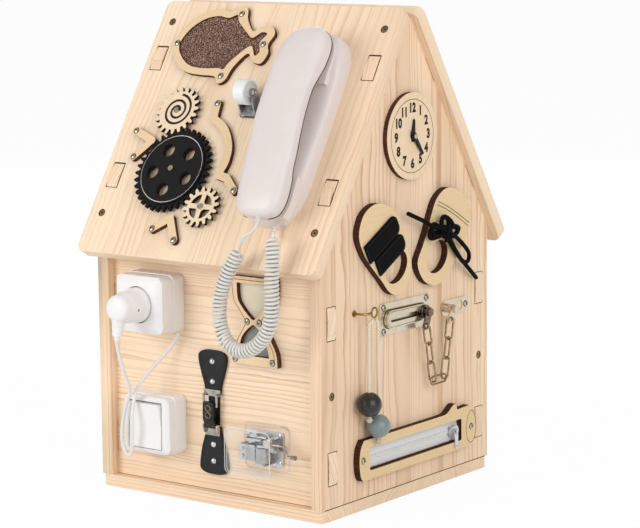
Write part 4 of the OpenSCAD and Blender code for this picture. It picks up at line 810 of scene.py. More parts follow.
# --- cords
COIL_D, COIL_WIRE, COIL_PITCH = 16.0, 3.2, 4.2
JACK, GLAND = (98, 38, 36), (100, 42.5, 8)
handset_jack = roof(JACK[0], JACK[1] + 3, JACK[2])
cradle_jack = roof(GLAND[0], GLAND[1] + 3, GLAND[2])
HANDSET_LEAD = [(96, -196, 304), (89, -199, 299), (81, -196, 290)]
COIL_ROUTE = [(75, -191, 282), (65, -193, 263), (55, -194, 242), (51, -194, 221), (52, -194, 204),
              (59, -194, 189), (72, -194, 180.5), (87, -194, 181), (103, -194, 191), (115, -194, 208),
              (119, -194, 230), (119, -194, 256), (119, -192, 278), (117, -188, 299)]
CRADLE_LEAD = [(115, -184, 303), (109, -179, 302)]


def curly_cord():
    """Straight leads at both ends and a helix between them, as one path."""
    line = evenly(smooth_path([handset_jack, roof(JACK[0], JACK[1] - 5, JACK[2])]
                              + [Vector(p) * MM for p in HANDSET_LEAD + COIL_ROUTE + CRADLE_LEAD]
                              + [roof(GLAND[0], GLAND[1] - 5, GLAND[2]), cradle_jack], 12), 0.3 * MM)
    distances = [0.0]
    for a, b in zip(line, line[1:]):
        distances.append(distances[-1] + (b - a).length)

    def distance_at(point):
        """Way along the line to its nearest point."""
        return distances[min(range(len(line)), key=lambda i: (line[i] - Vector(point) * MM).length)]
    coil_start, coil_end = distance_at(COIL_ROUTE[0]), distance_at(COIL_ROUTE[-1])
    frames = carried_frames(line)
    radius = (COIL_D - COIL_WIRE) / 2 * MM
    ramp = 5 * MM
    path = []
    for p, d, (n, b) in zip(line, distances, frames):
        grow = min(max((d - coil_start) / ramp, 0), 1) * min(max((coil_end - d) / ramp, 0), 1)
        grow = grow * grow * (3 - 2 * grow)
        a = math.tau * (d - coil_start) / (COIL_PITCH * MM)
        path.append(p + (n * math.cos(a) + b * math.sin(a)) * radius * grow)
    cord = tube("curly_cord", path, COIL_WIRE / 2 * MM, 8, cord_plastic, "house", "cord_plastic",
                ["phone_cord"])
    path_length(path)


curly_cord()

MAINS_D, PLUG_X = 4, -70.5
RELIEF_TOP, RELIEF_L, RELIEF_TURN = Vector((PLUG_X, FRONT_Y - 66.8, 211.5)), 34, math.radians(8)
RELIEF_DIR = Vector((-math.sin(RELIEF_TURN), 0, -math.cos(RELIEF_TURN)))
RELIEF_END = RELIEF_TOP + RELIEF_DIR * RELIEF_L
PLUG_CORD_ROUTE = [(-77, -205, 160), (-79, -195, 138), (-80, -186, 119), (-88, -183, 103), (-95, -181, 84),
                   (-97, -181, 64), (-92, -181, 49), (-84, -182, 49), (-80, -184, 64), (-79, -185, 84),
                   (-78, -183, 104), (-76, -177, 122), (-66, -166, 141), (-54, -156, 158), (-44, -152, 172),
                   (-41, -151.5, 177), (-41, -151.5, 180)]


def mains_cord():
    """The plug's cord, looped over the switch and back to the socket's box."""
    path = evenly(smooth_path([RELIEF_END * MM, (RELIEF_END + RELIEF_DIR * 3) * MM]
                              + [Vector(p) * MM for p in PLUG_CORD_ROUTE], 8), 1.6 * MM)
    cord = tube("mains_cord", path, MAINS_D / 2 * MM, 12, plug_cord_plastic, "house", "cord_plastic",
                ["plug_cord"])
    path_length(path)


mains_cord()

STRING_H, STRING_D = 13.8, 3.6
RING_Y, HOOK_Z, RING_R, HOOK_D = -80, 211, 5, 2.6


def bead_strings():
    """Two twisted strands from the hook's ring, each through its bead to a knot."""
    top = HOOK_Z - RING_R - HOOK_D - 0.2
    for name, y, foot in (("string_black", -90, 99.5), ("string_grey", -74, 74.5)):
        route = [(RING_Y + (y - RING_Y) * 0.26, top), (y + (RING_Y - y) * 0.1, HOOK_Z - 10.5),
                 (y, HOOK_Z - 14), (y, 170), (y, foot)]
        path = evenly(smooth_path([gable(a, z, STRING_H) for a, z in route], 8), 1.2 * MM)
        bm = bmesh.new()
        bmesh.ops.create_uvsphere(bm, u_segments=20, v_segments=14, radius=3.2 * MM)
        at = gable(y, foot, STRING_H)
        for v in bm.verts:
            d = v.co.normalized()
            v.co = at + v.co * (1 + 0.1 * math.sin(5 * math.atan2(d.y, d.x) + 6 * d.z))
        mesh = free_mesh(bm, name + "_knot", string_twist)
        mesh.uv_layers.new(name="along")
        knot = settle(added(name + "_knot", mesh), "house", "cream_string", sharp=60)
        strand = tube(name, path, STRING_D / 2 * MM, 12, string_twist, "house", "cream_string",
                      ["bead_string"])
        path_length(path)


bead_strings()

LACE_D, LACE_H = 4.6, 10.3
LACE_ROUTE = [
    (-14.9, 32.2, 1), (0.5, 26.2, 1.5), (13.6, 20.5, 3), (25.7, 14.8, 3), (36.5, 10.4, 4), (43, 8, 6),
    (39.3, 15.1, 6), (44.6, 22.4, 5), (52.6, 20, 6), (59.7, 12.7, 7), (54, 7.5, 7), (44.4, 5, 7),
    (33.5, 2.3, 6), (23.8, 1.7, 3), (22.9, 9.3, 3), (29.4, 13, 5), (38, 11.5, 7.5), (48, 6, 8),
    (65, -0.4, 6), (83.5, -11.5, 4), (96.8, -23.1, 3), (94.8, -32.2, 3), (84, -29.7, 3), (69.9, -16.9, 4),
    (55, -2, 6), (48, 5, 5), (52.1, 2.7, 3.5), (65.6, -11.6, 2), (80.7, -25.5, 1), (102.5, -41.1, -1),
    (124, -55, -5)]
LACE_WRAP = [(41.2, 3.9, 4), (52.5, -1.1, 6), (67, 1, 6), (75.8, 6.8, 4), (63.7, 10.5, 5), (49.2, 9.1, 7)]
LACE_CROSS = [(56, 14, 4), (50, 11, 8.5), (46, 6, 9.5), (47, 0, 8), (52, -4, 4)]
LACE_TURNS = [[(46, 6, 3), (38, 13, 3), (29, 16, 3), (24, 11, 4), (27, 5, 5), (36, 3, 6), (46, 6, 6)],
              [(49, 6, 3), (42, 13, 5), (43, 20, 5), (49, 21.5, 5), (54, 15, 6), (50, 6, 7)],
              [(49, 5, 4), (58, 8, 4), (66, 9, 5), (70, 5, 6), (63, 1, 7), (52, 3, 8)],
              [(44, 12, 6), (50, 9, 8.5), (54, 3, 8.5), (52, -4, 6)]]


def shoelace():
    """Bow of one long lace, with the turns of its knot and the runs to the eyelets."""
    def lace_path(points):
        return evenly(smooth_path([gable(y, EAVE_H + z, LACE_H + h) for y, z, h in points], 8), 1.2 * MM)

    def run(name, path, stands_for=()):
        return tube(name, path, LACE_D / 2 * MM, 12, lace_braid, "house", "black_webbing", stands_for)
    path = lace_path(LACE_ROUTE)
    lace = run("lace", path, ["shoelace"])
    others = [run("lace_wrap", lace_path(LACE_WRAP)), run("lace_cross", lace_path(LACE_CROSS))]
    others += [run("lace_turn_%d" % i, lace_path(turn)) for i, turn in enumerate(LACE_TURNS)]
    for name, y, z in (("lace_from_left_eyelet", 33, 6), ("lace_from_right_eyelet", 64, 3)):
        others.append(run(name, lace_path([(y, z, -9.5), (y, z, -3), (y * 0.8 + 10, z, 1.5), (49, 5, 4)])))
    path_length(path)


shoelace()

# --- house
for board, finish in PINE.items():
    softened(board, finish, "pine", bevel=0.9, segments=2, limit=30, least=60)

# --- CAD nodes that show as they are
hand_black = black_hand()
for finish, nodes in (
        (ply_fish, "fish_frame"), (ply_bars, "gear_brackets"), (ply_gears, "gear_spiral gear_spoked"),
        (black_gear, "gear_big"), (ply_hourglass, "hourglass_frame"), (pane_film, "hourglass_pane"),
        (ply_clock, "clock_face"), (hand_black, "hour_hand minute_hand"), (ply_shoes, "shoe_left shoe_right"),
        (ply_zipper, "zipper_frame"), (zip_metal, "zipper_slider zipper_pull"), (white_plastic, "plug"),
        (steel, "caster_plate caster_fork"), (wheel_plastic, "caster_wheel"), (clasp_nickel, "clasp_keeper"),
        (clasp_dark, "clasp_hook"), (bright, "strap_rivets"), (works_metal, "music_movement"),
        (drum_metal, "music_cylinder"), (crank_steel, "music_crank"), (clear_case, "music_case"),
        (yellow_brass, "string_hook"), (bead_black, "bead_black"), (bead_grey, "bead_grey"),
        (bronze, "chain_plate chain_keeper"), (dark_bronze, "chain_stud"),
        (chain_metal, "chain_left chain_lower chain_right"), (screw_yellow, "carcass_screws"),
        (screw_zinc, "module_screws")):
    for node in nodes.split():
        materials = frame["nodes"][node].data.materials
        materials.clear()
        materials.append(finish)
for node, bevel in (("back_boxes", 1.0), ("socket_cover", 1.0), ("switch_cover", 0.9), ("switch_rocker", 0.8)):
    softened(node, white_plastic, "white_plastic", bevel=bevel, segments=3, limit=25)

# --- telephone
BASE_ROWS = [(46, 84, 7, 0, 8), (48.5, 84, 17, 0, 15.5), (54, 84, 24, 0, 21), (66, 84, 30, 0, 23.7),
             (84, 84, 35, 0, 23.5), (105, 84, 35.5, 0, 20), (163, 84, 35.5, 0, 19), (207, 84, 34.5, 0, 20),
             (228, 84, 34, 0, 23.5), (246, 84, 29, 0, 23.6), (258, 84, 21, 0, 19), (264, 84, 12, 0, 13),
             (266, 84, 5, 0, 7)]
REST_H = 24.3
HANDSET_ROWS = [(42, 93.5, 8, 33, 40), (44, 93.5, 17, 28.5, 44), (50, 94, 24.5, REST_H + 1, 47.5),
                (64, 94, 28, REST_H, 50.5), (84, 92.3, 28.5, REST_H + 0.4, 52), (98, 91, 28.5, 29, 52.6),
                (116, 90, 29, 32.5, 53), (150, 85.8, 28.5, 34, 53.5), (184, 83.6, 27.8, 33.5, 53),
                (202, 83.4, 28.6, 30, 52.5), (217, 82.2, 29.4, REST_H + 0.4, 51.8),
                (237, 83.4, 27.6, REST_H, 49.5), (250, 84, 22, REST_H + 1, 46), (256.5, 84.2, 14, 28.5, 42.5),
                (258.5, 84.2, 6.5, 33, 38.5)]
# Powers of the sections: 1 is an oval, less is squarer
CRADLE_POWER, HANDSET_POWER = 0.42, 0.62


def signed_power(value, power):
    """Power that keeps the value's sign."""
    return math.copysign(abs(value) ** power, value)


def phone_shell(name, rows, power, arch, node, body):
    """Smooth moulded shell through the rows: whole ovals, or arches on a flat underside."""
    sections = []
    for v, mid, half, low, high in smooth_path(rows, 7):
        ring = []
        for a in steps_round(64):
            c, s = signed_power(math.cos(a), power), signed_power(math.sin(a), power)
            if arch:
                h = low + (high - low) * s if s > 0 else low
            else:
                h = (low + high) / 2 + (high - low) / 2 * s
            ring.append(roof(mid + half * c, v, h))
        sections.append(ring)
    piece(name, *loft(sections), phone_plastic, body, "phone_plastic", [node], sharp=45)


def lathe(name, at, axis, profile, finish, body, slot, sides=32):
    """Turned piece: profile rows are (distance along axis, radius) in mm, from a point in metres."""
    axis = Vector(axis).normalized()
    u = axis.orthogonal().normalized()
    w = axis.cross(u)
    rings = [[at + (axis * d + (u * math.cos(a) + w * math.sin(a)) * r) * MM for a in steps_round(sides)]
             for d, r in profile]
    piece(name, *loft(rings), finish, body, slot, sharp=40)


def ribbed(length, radius, end, ribs):
    """Profile of a strain relief: rings that shrink towards its mouth."""
    rows = []
    for i in range(ribs):
        d, r = length * i / ribs, radius + (end - radius) * i / ribs
        rows += [(d, r), (d + length / ribs * 0.62, r), (d + length / ribs * 0.7, r - 0.7),
                 (d + length / ribs * 0.95, r - 0.7)]
    return rows


phone_shell("phone_cradle", BASE_ROWS, CRADLE_POWER, True, "phone_base", "house")
phone_shell("phone_handset_shell", HANDSET_ROWS, HANDSET_POWER, False, "phone_handset", "phone_handset")
SLEEVE_L = 11
for name, jack, body in (("handset_sleeve", JACK, "phone_handset"), ("cradle_sleeve", GLAND, "house")):
    lathe(name, roof(jack[0], jack[1] + SLEEVE_L, jack[2]), -Vector(UP_ROOF), ribbed(SLEEVE_L, 4.0, 3.2, 5),
          phone_plastic, body, "phone_plastic")


def rest_pads():
    """Blocks of the cradle that carry both ends of the handset."""
    rows = smooth_path(HANDSET_ROWS, 7)
    for name, v0, v1 in (("upper_rest_pad", 200, 249), ("lower_rest_pad", 50, 97)):
        sections = []
        for v, mid, half, _, _ in rows:
            if v0 <= v <= v1:
                sections.append([roof(mid + sx * (half - 1.2), v, h) for sx, h in
                                 ((1, 15), (1, REST_H + 0.6), (-1, REST_H + 0.6), (-1, 15))])
        piece(name, *loft(sections), phone_plastic, "house", "phone_plastic")


rest_pads()


def handset_seam():
    """Dark line round the handset, where its two shells meet: their parting line, and painted shade along the
    edge where its side turns under.
    """
    rows = smooth_path(HANDSET_ROWS, 7)[6:-6]
    low = math.radians(-18)
    c, sink = (signed_power(value, HANDSET_POWER) for value in (math.cos(low), math.sin(low)))
    right, left = ([roof(mid + side * (half * c - 0.1), v, (low_h + high_h) / 2 + (high_h - low_h) / 2 * sink)
                    for v, mid, half, low_h, high_h in rows] for side in (1, -1))
    loop = right + left[::-1] + right[:1]
    tube("handset_seam", loop, 0.75 * MM, 8, painted_seam_shade, "phone_handset", "phone_plastic")


handset_seam()

# --- plug's boot and screw
BOOT = ([(1, 5), (1.5, 8.6), (5, 8.8), (8, 7.8)]
        + [(8 + d, r * 0.86 + 1.2) for d, r in ribbed(22, 7.4, 4.6, 6)] + [(31, 3.4)])
lathe("plug_boot", RELIEF_TOP * MM, RELIEF_DIR, BOOT, white_plastic, "plug", "white_plastic")
lathe("plug_screw", Vector((PLUG_X + 16.6, -200, 210)) * MM, (0.97, -0.24, 0),
      [(-1.5, 1.8), (0.3, 1.7), (0.4, 1.2)], recess_shade, "plug", "white_plastic", sides=20)


# --- fish pad
FISH_INNER = [(-117, 250), (-110, 268), (-95, 281), (-77, 286), (-62, 284), (-51, 288), (-46, 280), (-30, 267),
              (-20, 261), (-10, 268), (-2, 266), (-8, 256), (-4, 245), (-9, 240), (-17, 251), (-26, 246),
              (-40, 230), (-44, 222), (-52, 223), (-73, 222), (-93, 225), (-109, 236)]


def inside(point, outline):
    """Signed distance to an outline: positive within."""
    hit, best = False, 1e9
    for a, b in zip(outline, outline[1:] + outline[:1]):
        if (a.y > point.y) != (b.y > point.y) and point.x < (b.x - a.x) * (point.y - a.y) / (b.y - a.y) + a.x:
            hit = not hit
        t = max(0.0, min(1.0, (point - a).dot(b - a) / max((b - a).length_squared, 1e-9)))
        best = min(best, (point - a.lerp(b, t)).length)
    return best if hit else -best


FISH_AT, FISH_SIZE, PILE_CELL, PILE_COUNT = (-119, 219), (120, 72), 1.25, 3600


def fish_plush():
    """Padded cloth on a grid of cells, with tufts of pile spread over it."""
    outline = smooth_path(FISH_INNER, 5, closed=True)
    cells, tops = {}, {}
    nx, ny = (int(size / PILE_CELL) for size in FISH_SIZE)
    for i in range(nx + 1):
        for j in range(ny + 1):
            p = Vector((FISH_AT[0] + i * PILE_CELL, FISH_AT[1] + j * PILE_CELL))
            d = inside(p, outline)
            if d > -1.2:
                cells[i, j] = p
                swell = 1 - math.exp(-max(d, 0) / 3.5)
                tops[i, j] = 2.3 + 1.5 * swell + 0.5 * noise.noise(Vector((p.x, p.y, 0)) * 0.22)
    verts, index = [], {}
    for key, p in cells.items():
        for level, h in ((1, tops[key]), (0, 0.1)):
            index[key, level] = len(verts)
            verts.append(roof(p.x, p.y, h))
    faces, count = [], {}
    squares = [(i, j) for (i, j) in cells if all(k in cells for k in ((i + 1, j), (i, j + 1), (i + 1, j + 1)))]
    for i, j in squares:
        ring = [(i, j), (i + 1, j), (i + 1, j + 1), (i, j + 1)]
        faces.append(tuple(index[k, 1] for k in ring))
        faces.append(tuple(index[k, 0] for k in reversed(ring)))
        for a, b in zip(ring, ring[1:] + ring[:1]):
            count[a, b] = True
    for a, b in count:
        if (b, a) not in count:
            faces.append((index[b, 1], index[a, 1], index[a, 0], index[b, 0]))
    used = sorted({v for f in faces for v in f})
    renumber = {v: n for n, v in enumerate(used)}
    pad = piece("fish_plush", [verts[v] for v in used], [tuple(renumber[v] for v in f) for f in faces],
                fur_root_shade, "house", "fish_fur", ["fish_pad"], sharp=50)
    rng = random.Random(7)
    places, sizes = [], []
    for _ in range(PILE_COUNT):
        i, j = rng.choice(squares)
        p = cells[i, j] + Vector((rng.random() * PILE_CELL, rng.random() * PILE_CELL))
        if inside(p, outline) < 0.5:
            continue
        a = math.radians(215) + rng.gauss(0, 0.9)
        h = tops[i, j] - 0.5
        at = roof(p.x, p.y, h)
        ahead = roof(p.x + math.cos(a), p.y + math.sin(a), h + rng.uniform(0, 0.5))
        places.append((at, ahead - at, OFF_ROOF))
        sizes.append(rng.uniform(1.0, 1.7))
    tuft_points = ((0, -0.42, 0), (0, 0.42, 0), (0.2, 0, 0.7), (1.3, -0.3, 0.75), (1.3, 0.3, 0.75),
                   (2.6, 0, 0.9))
    tuft = new_mesh("tuft", [Vector(v) * MM for v in tuft_points],
                    [(0, 3, 2), (2, 4, 1), (2, 3, 4), (3, 5, 4), (0, 1, 4, 3)])
    repeats("fish_pile", places, tuft, fur_tip, "house", "fish_fur", sizes)


fish_plush()


# --- painted highlights along the edges of the clear case
CASE_X, CASE_Z = 71, 69


def rounded_loop(w, l, r, n=6):
    """Rectangle with round corners."""
    return [(sx * (w / 2 - r) + r * math.cos(a), sy * (l / 2 - r) + r * math.sin(a))
            for sx, sy, q in ((1, 1, 0), (-1, 1, 1), (-1, -1, 2), (1, -1, 3))
            for a in (math.pi / 2 * (q + i / n) for i in range(n + 1))]


for name, w, l, r, h in (("case_front_edge", 58.6, 48.6, 6.4, 34.5), ("case_inner_edge", 56.4, 46.4, 5.2, 32.6),
                         ("case_foot_edge", 59, 49, 6.6, 0.7)):
    loop = rounded_loop(w, l, r)
    tube(name, [front(CASE_X + u, CASE_Z + v, h) for u, v in loop + loop[:1]], 0.36 * MM, 8, case_rim_highlight, "house",
         "clear_plastic")

# --- leather strap
def plate(name, outline, thickness, edge, place, finish, body, slot, stands_for=(), lift=0.0):
    """Flat piece cut from sheet, its edges rounded, lying on a face at a height of lift."""
    bm = bmesh.new()
    bottom = [bm.verts.new(Vector((p[0], p[1], 0)) * MM) for p in outline]
    face = bm.faces.new(bottom)
    if face.normal.z < 0:
        face.normal_flip()
    made = bmesh.ops.extrude_face_region(bm, geom=[face])
    for v in made["geom"]:
        if isinstance(v, bmesh.types.BMVert):
            v.co.z += thickness * MM
    bmesh.ops.recalc_face_normals(bm, faces=bm.faces)
    raw = added(name + "_raw", free_mesh(bm, name, finish))
    mod = raw.modifiers.new("edge", "BEVEL")
    mod.width, mod.segments, mod.limit_method = edge * MM, 3, "ANGLE"
    mod.angle_limit = math.radians(50)
    mesh = made_mesh(raw)
    for v in mesh.vertices:
        v.co = place(v.co.x / MM, v.co.y / MM, v.co.z / MM + lift)
    settle(added(name, mesh), body, slot, stands_for, sharp=40)


STRAP_X, STRAP_W, CLASP_TOP, CLASP_FOOT = 1.5, 19.6, 121.5, 79


def strap_outline(z0, z1):
    """Half of the strap, from its straight end at z0 to its round end at z1."""
    d, w = math.copysign(1, z1 - z0), STRAP_W / 2
    half = smooth_path([(w, z0), (w + 1.6, z0 + 10 * d), (w + 6, z0 + 24 * d), (w + 9, z1 - 11 * d),
                        (w + 7.6, z1 - 4 * d), (10, z1 - 0.6 * d), (0, z1)], 5)
    return [(STRAP_X + p.x, p.y) for p in half] + [(STRAP_X - p.x, p.y) for p in reversed(half[:-1])]


def inset(outline, by):
    """Outline moved inwards by a distance."""
    points = [Vector(p) for p in outline]
    area = sum(a.x * b.y - b.x * a.y for a, b in zip(points, points[1:] + points[:1]))
    turn = math.copysign(1, area)
    out = []
    for i, p in enumerate(points):
        t = (points[(i + 1) % len(points)] - points[i - 1]).normalized()
        out.append(p + Vector((-t.y, t.x)) * by * turn)
    return out


def small_box(w, l, h, taper):
    """Little block from z = 0 up, its top scaled by taper."""
    verts = [(sx * w / 2 * k * MM, sy * l / 2 * k * MM, z * MM) for z, k in ((0, 1), (h, taper))
             for sx, sy in ((-1, -1), (1, -1), (1, 1), (-1, 1))]
    faces = [(3, 2, 1, 0), (4, 5, 6, 7)] + [(i, (i + 1) % 4, 4 + (i + 1) % 4, 4 + i) for i in range(4)]
    return new_mesh("block", verts, faces)


RECESS_L, RECESS_W, RECESS_LIFT = 3.4, 0.9, 0.12


def cross_recess():
    """Dark cross on a screw's head, a hair above it."""
    a, b = RECESS_W / 2, RECESS_L / 2
    ring = [(a, a), (a, b), (-a, b), (-a, a), (-b, a), (-b, -a), (-a, -a), (-a, -b), (a, -b), (a, -a), (b, -a),
            (b, a)]
    return new_mesh("cross", [(x * MM, y * MM, RECESS_LIFT * MM) for x, y in ring], [tuple(range(12))])


def stitches(name, outline, pitch, place, height, off, size, body, slot):
    """Row of thread stitches of a size (w, l, h) along a closed 2D outline."""
    line = evenly(outline + outline[:1], pitch)
    places = []
    for a, b in zip(line, line[1:]):
        mid = (a + b) / 2
        places.append((place(mid.x, mid.y, height), place(b.x, b.y, height) - place(a.x, a.y, height), off))
    repeats(name, places, small_box(*size, 0.7), stitch, body, slot)


for name, z0, z1, node in (("strap_upper_leather", CLASP_TOP - 4, 165, "strap_upper"),
                           ("strap_lower_leather", CLASP_FOOT + 4, 31, "strap_lower")):
    outline = strap_outline(z0, z1)
    plate(name, outline, 4, 0.9, front, black_leather, "house", "black_leather", [node])
    stitches(name + "_stitches", inset(outline, 2.2), 2.6, front, 4.0, OFF_FRONT, (1.768, 0.7, 0.35), "house",
             "black_leather")


def clasp_trim():
    """Raised rings on the clasp's hook, and the dark plate behind it."""
    proud = FRONT_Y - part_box("clasp_hook")[0][1] / MM + 0.1
    half_w, half_h = 3.4, 3.0
    for name, z in (("clasp_ring_top", 104), ("clasp_ring_low", 96.4)):
        loop = [front(STRAP_X + half_w * math.cos(a), z + half_h * math.sin(a), proud - 0.2)
                for a in steps_round(28) + [math.tau]]
        tube(name, loop, 0.7 * MM, 10, dark_bronze, "clasp_hook", "dark_nickel")
    plate("clasp_back", [(STRAP_X + x, z) for x, z in ((-7, 84), (7, 84), (7.6, 118), (-7.6, 118))], 1.6, 0.5,
          front, black_leather, "house", "black_leather")


clasp_trim()

# --- music drum
DRUM_X, DRUM_Z, DRUM_H, DRUM_R, DRUM_L = 75, 63.5, 14, 6.8, 16
PIN_RINGS, PINS_IN_RING = 17, 5


def drum_pins():
    """Pins that pluck the comb's teeth, in rings round the drum."""
    rng = random.Random(11)
    pins = []
    for ring in range(PIN_RINGS):
        z = DRUM_Z - DRUM_L / 2 + 1 + (DRUM_L - 2) * ring / (PIN_RINGS - 1)
        for _ in range(PINS_IN_RING):
            a = rng.uniform(0, math.tau)
            out = Vector((math.cos(a), math.sin(a), 0))
            at = Vector((DRUM_X, FRONT_Y - DRUM_H, z)) + out * (DRUM_R - 0.1)
            pins.append((at * MM, (0, 0, 1), out))
    repeats("drum_pins", pins, small_box(0.4, 0.4, 0.55, 0.8), steel, "music_cylinder", "steel")


drum_pins()


def works_trim():
    """Screws, governor wheel and rods of the music movement, above its bed plate."""
    def at(u, v, h):
        return front(CASE_X + u, CASE_Z + v, h)
    for i, (u, v) in enumerate(((-20.5, 14), (-20.5, -15), (19.5, -14.5), (19.5, 14.5))):
        lathe("bed_screw_%d" % i, at(u, v, 3), OFF_FRONT, [(-1, 2.2), (0.9, 2.1), (1.4, 1.2)], bright, "house",
              "steel", sides=20)
    wheel = [(0, 4.6), (1.0, 4.6), (1.1, 1.4), (4.5, 1.2), (4.6, 2.6), (5.6, 2.6)]
    lathe("governor_wheel", at(17, 1.5, 9), OFF_FRONT, wheel, steel, "house", "steel", sides=24)
    rod = [at(u, 12.4, 12) for u in (-17, -5, 8)]
    tube("upper_rod", rod, 1.1 * MM, 12, bright, "house", "steel")
    lathe("rod_collar", rod[0], X, [(0, 1.8), (2.2, 1.8), (2.3, 1.1)], steel, "house", "steel", sides=20)


works_trim()

# --- shoe straps
def hook_strap(name, at, length, width, node):
    """Touch-and-close strap with a soft rounded end and a stitched border, on the node's own body."""
    r = 8
    end = length - width / 2 + 7
    corner = [(end - r + r * math.cos(a), width / 2 - r + r * math.sin(a)) for a in
              [math.pi / 2 * (1 - i / 8) for i in range(9)]]
    half = [(0.4, width / 2)] + corner
    outline = half + [(x, -y) for x, y in reversed(half)]
    c, s = math.cos(math.radians(STRAP_TURN)), math.sin(math.radians(STRAP_TURN))

    def place(u, v, h):
        return gable(at[0] + u * c - v * s, at[1] + u * s + v * c, h)
    plate(name, outline, STRAP_T, 1.1, place, strap_web, node, "black_webbing", [node], lift=STRAP_FOOT)
    stitches(name + "_stitches", inset(outline, 2.4), 2.2, place, STRAP_FOOT + STRAP_T - 0.05, X,
             (1.5, 0.6, 0.3), node, "black_webbing")


hook_strap("upper_touch_strap", (-86.8, 270.3), 66, 22, "shoe_strap_upper")
hook_strap("lower_touch_strap", (-68.5, 254.8), 57, 20.5, "shoe_strap_lower")

# --- engraved lines
SPIRAL_AT, SPIRAL_TURN = (-84.86, 169.12), 810
spiral = [(SPIRAL_AT[0] + r * math.cos(math.radians(a)), SPIRAL_AT[1] + r * math.sin(math.radians(a)))
          for a in range(0, SPIRAL_TURN + 1, 9) for r in (3.4 + 15.6 * a / SPIRAL_TURN,)]
burnt_lines("spiral_line", [(spiral, False)], 2.8, roof, GEAR_PLY + 0.05, char, "gear_spiral")
toe = smooth_path([(44, 309), (62, 302), (82, 292), (104, 279)], 8)
toe_inner = smooth_path([(46, 312.4), (63, 305.4), (83, 295.4), (105.4, 282.6)], 8)
burnt_lines("right_shoe_lines", [(toe, False), (toe_inner, False)], 0.8, gable, SHOE_PLY + 0.08, burnt, "house")
zip_oval = [(109.5 + 9.5 * math.cos(a) * (1 - 0.12 * math.sin(a)), 55.6 + 18 * math.sin(a)) for a in
            steps_round(48)]
TRACK_ENDS, TRACK_Z = (-37.5, 22.5), 196.5


def stadium(radii, n=12):
    """Outline of a circle round each end of the chain's track and the flat sides between them."""
    return [(y + r * math.cos(t), TRACK_Z + r * math.sin(t))
            for y, r, first in zip(TRACK_ENDS, radii, (0.5, -0.5))
            for t in (first * math.pi + math.pi * i / n for i in range(n + 1))]


# Dark outlines on the chain plate and on its raised track: painted shade.
for name, radii, width, height in (("chain_plate_lines", (10.0, 9.0), 0.9, 2.07),
                                   ("chain_track_lines", (8.2, 7.2), 0.5, 6.46)):
    burnt_lines(name, [(stadium(radii), True)], width, gable, height, burnt, "house", "bronze")
burnt_lines("zipper_lines", [(zip_oval, True)], 0.7, gable, SHOE_PLY + 0.08, burnt, "house")
GLASS_RIGHT = [(31, -39), (29, -28), (20, -12), (13.5, 0), (20, 11), (28, 22), (30.5, 36), (30.5, 48)]
glass_lines = [([(GLASS_X + s * (p.x - 3.4), GLASS_Z + p.y) for p in smooth_path(GLASS_RIGHT, 5)], False)
               for s in (-1, 1)] + [([(GLASS_X + s * 27, GLASS_Z + 44.5) for s in (-1, 1)], False)]
burnt_lines("hourglass_lines", glass_lines, 0.6, front, GLASS_PLY + 0.08, burnt, "house")


# --- clock numerals
DIAL_Y, DIAL_Z, NUMERAL_R = 2, 386, 29.4
NUMERAL_SIZE, NUMERAL_WEIGHT, NUMERAL_WIDE, NUMERAL_TALL = 14.2, 0.78, 0.87, 0.945


def clock_numerals():
    """Numerals 1 to 12, flat on the dial."""
    verts, faces = [], []
    for n in range(1, 13):
        curve = bpy.data.curves.new("numeral", "FONT")
        curve.body = str(n)
        curve.align_x, curve.align_y = "CENTER", "CENTER"
        curve.size, curve.offset, curve.resolution_u = NUMERAL_SIZE, NUMERAL_WEIGHT, 4
        mesh = made_mesh(added("numeral", curve))
        a = math.radians(90 - 30 * n)
        cy, cz = DIAL_Y + NUMERAL_R * math.cos(a), DIAL_Z + NUMERAL_R * math.sin(a)
        start = len(verts)
        verts += [gable(cy + v.co.x * NUMERAL_WIDE, cz + v.co.y * NUMERAL_TALL, CLOCK_PLY + 0.1)
                  for v in mesh.vertices]
        faces += [tuple(start + i for i in p.vertices) for p in mesh.polygons]
        bpy.data.meshes.remove(mesh)
    piece("clock_numerals", verts, faces, hand_black, "house", "black_paint")


clock_numerals()


# --- zipper
WINDOW_L, WINDOW_H, TAPE_TOP = 172, 24, 1.8
ZIP_Y, ZIP_Z, TOOTH_PITCH, TAPE_STEPS = 4.5, 55.5, 2.6, 60
TAPE_ROWS = [(0.25, 0.1), (0.25, TAPE_TOP - 0.1), (1.4, TAPE_TOP), (4, TAPE_TOP + 0.25), (8, TAPE_TOP - 0.15),
             (WINDOW_H / 2 - 1.6, TAPE_TOP), (WINDOW_H / 2 - 1.6, 0.1)]


def zipper():
    """Two halves of woven tape, and their teeth, which alternate."""
    verts, faces = [], []
    for side in (-1, 1):
        rings = []
        for i in range(TAPE_STEPS + 1):
            y = ZIP_Y - WINDOW_L / 2 + 0.3 + (WINDOW_L - 0.6) * i / TAPE_STEPS
            rings.append([gable(y, ZIP_Z + side * d, h + 0.12 * math.sin(y * 0.11 + d) * (0 if h < 1 else 1))
                          for d, h in TAPE_ROWS])
        half_verts, half_faces = loft(rings)
        faces += [tuple(len(verts) + i for i in face[::side]) for face in half_faces]
        verts += half_verts
    piece("zipper_tape_cloth", verts, faces, tape_weave, "house", "zip_tape", ["zipper_tape"], sharp=40)
    first = ZIP_Y - WINDOW_L / 2 + 3
    places = [(gable(first + TOOTH_PITCH * (i + 0.5), ZIP_Z + (-0.4, 0.4)[i % 2], TAPE_TOP - 0.1), Y, X)
              for i in range(int((WINDOW_L - 6) / TOOTH_PITCH))]
    repeats("zipper_teeth", places, small_box(1.7, 4.4, 2.2, 0.72), tooth_plastic, "house", "zip_tape")


zipper()

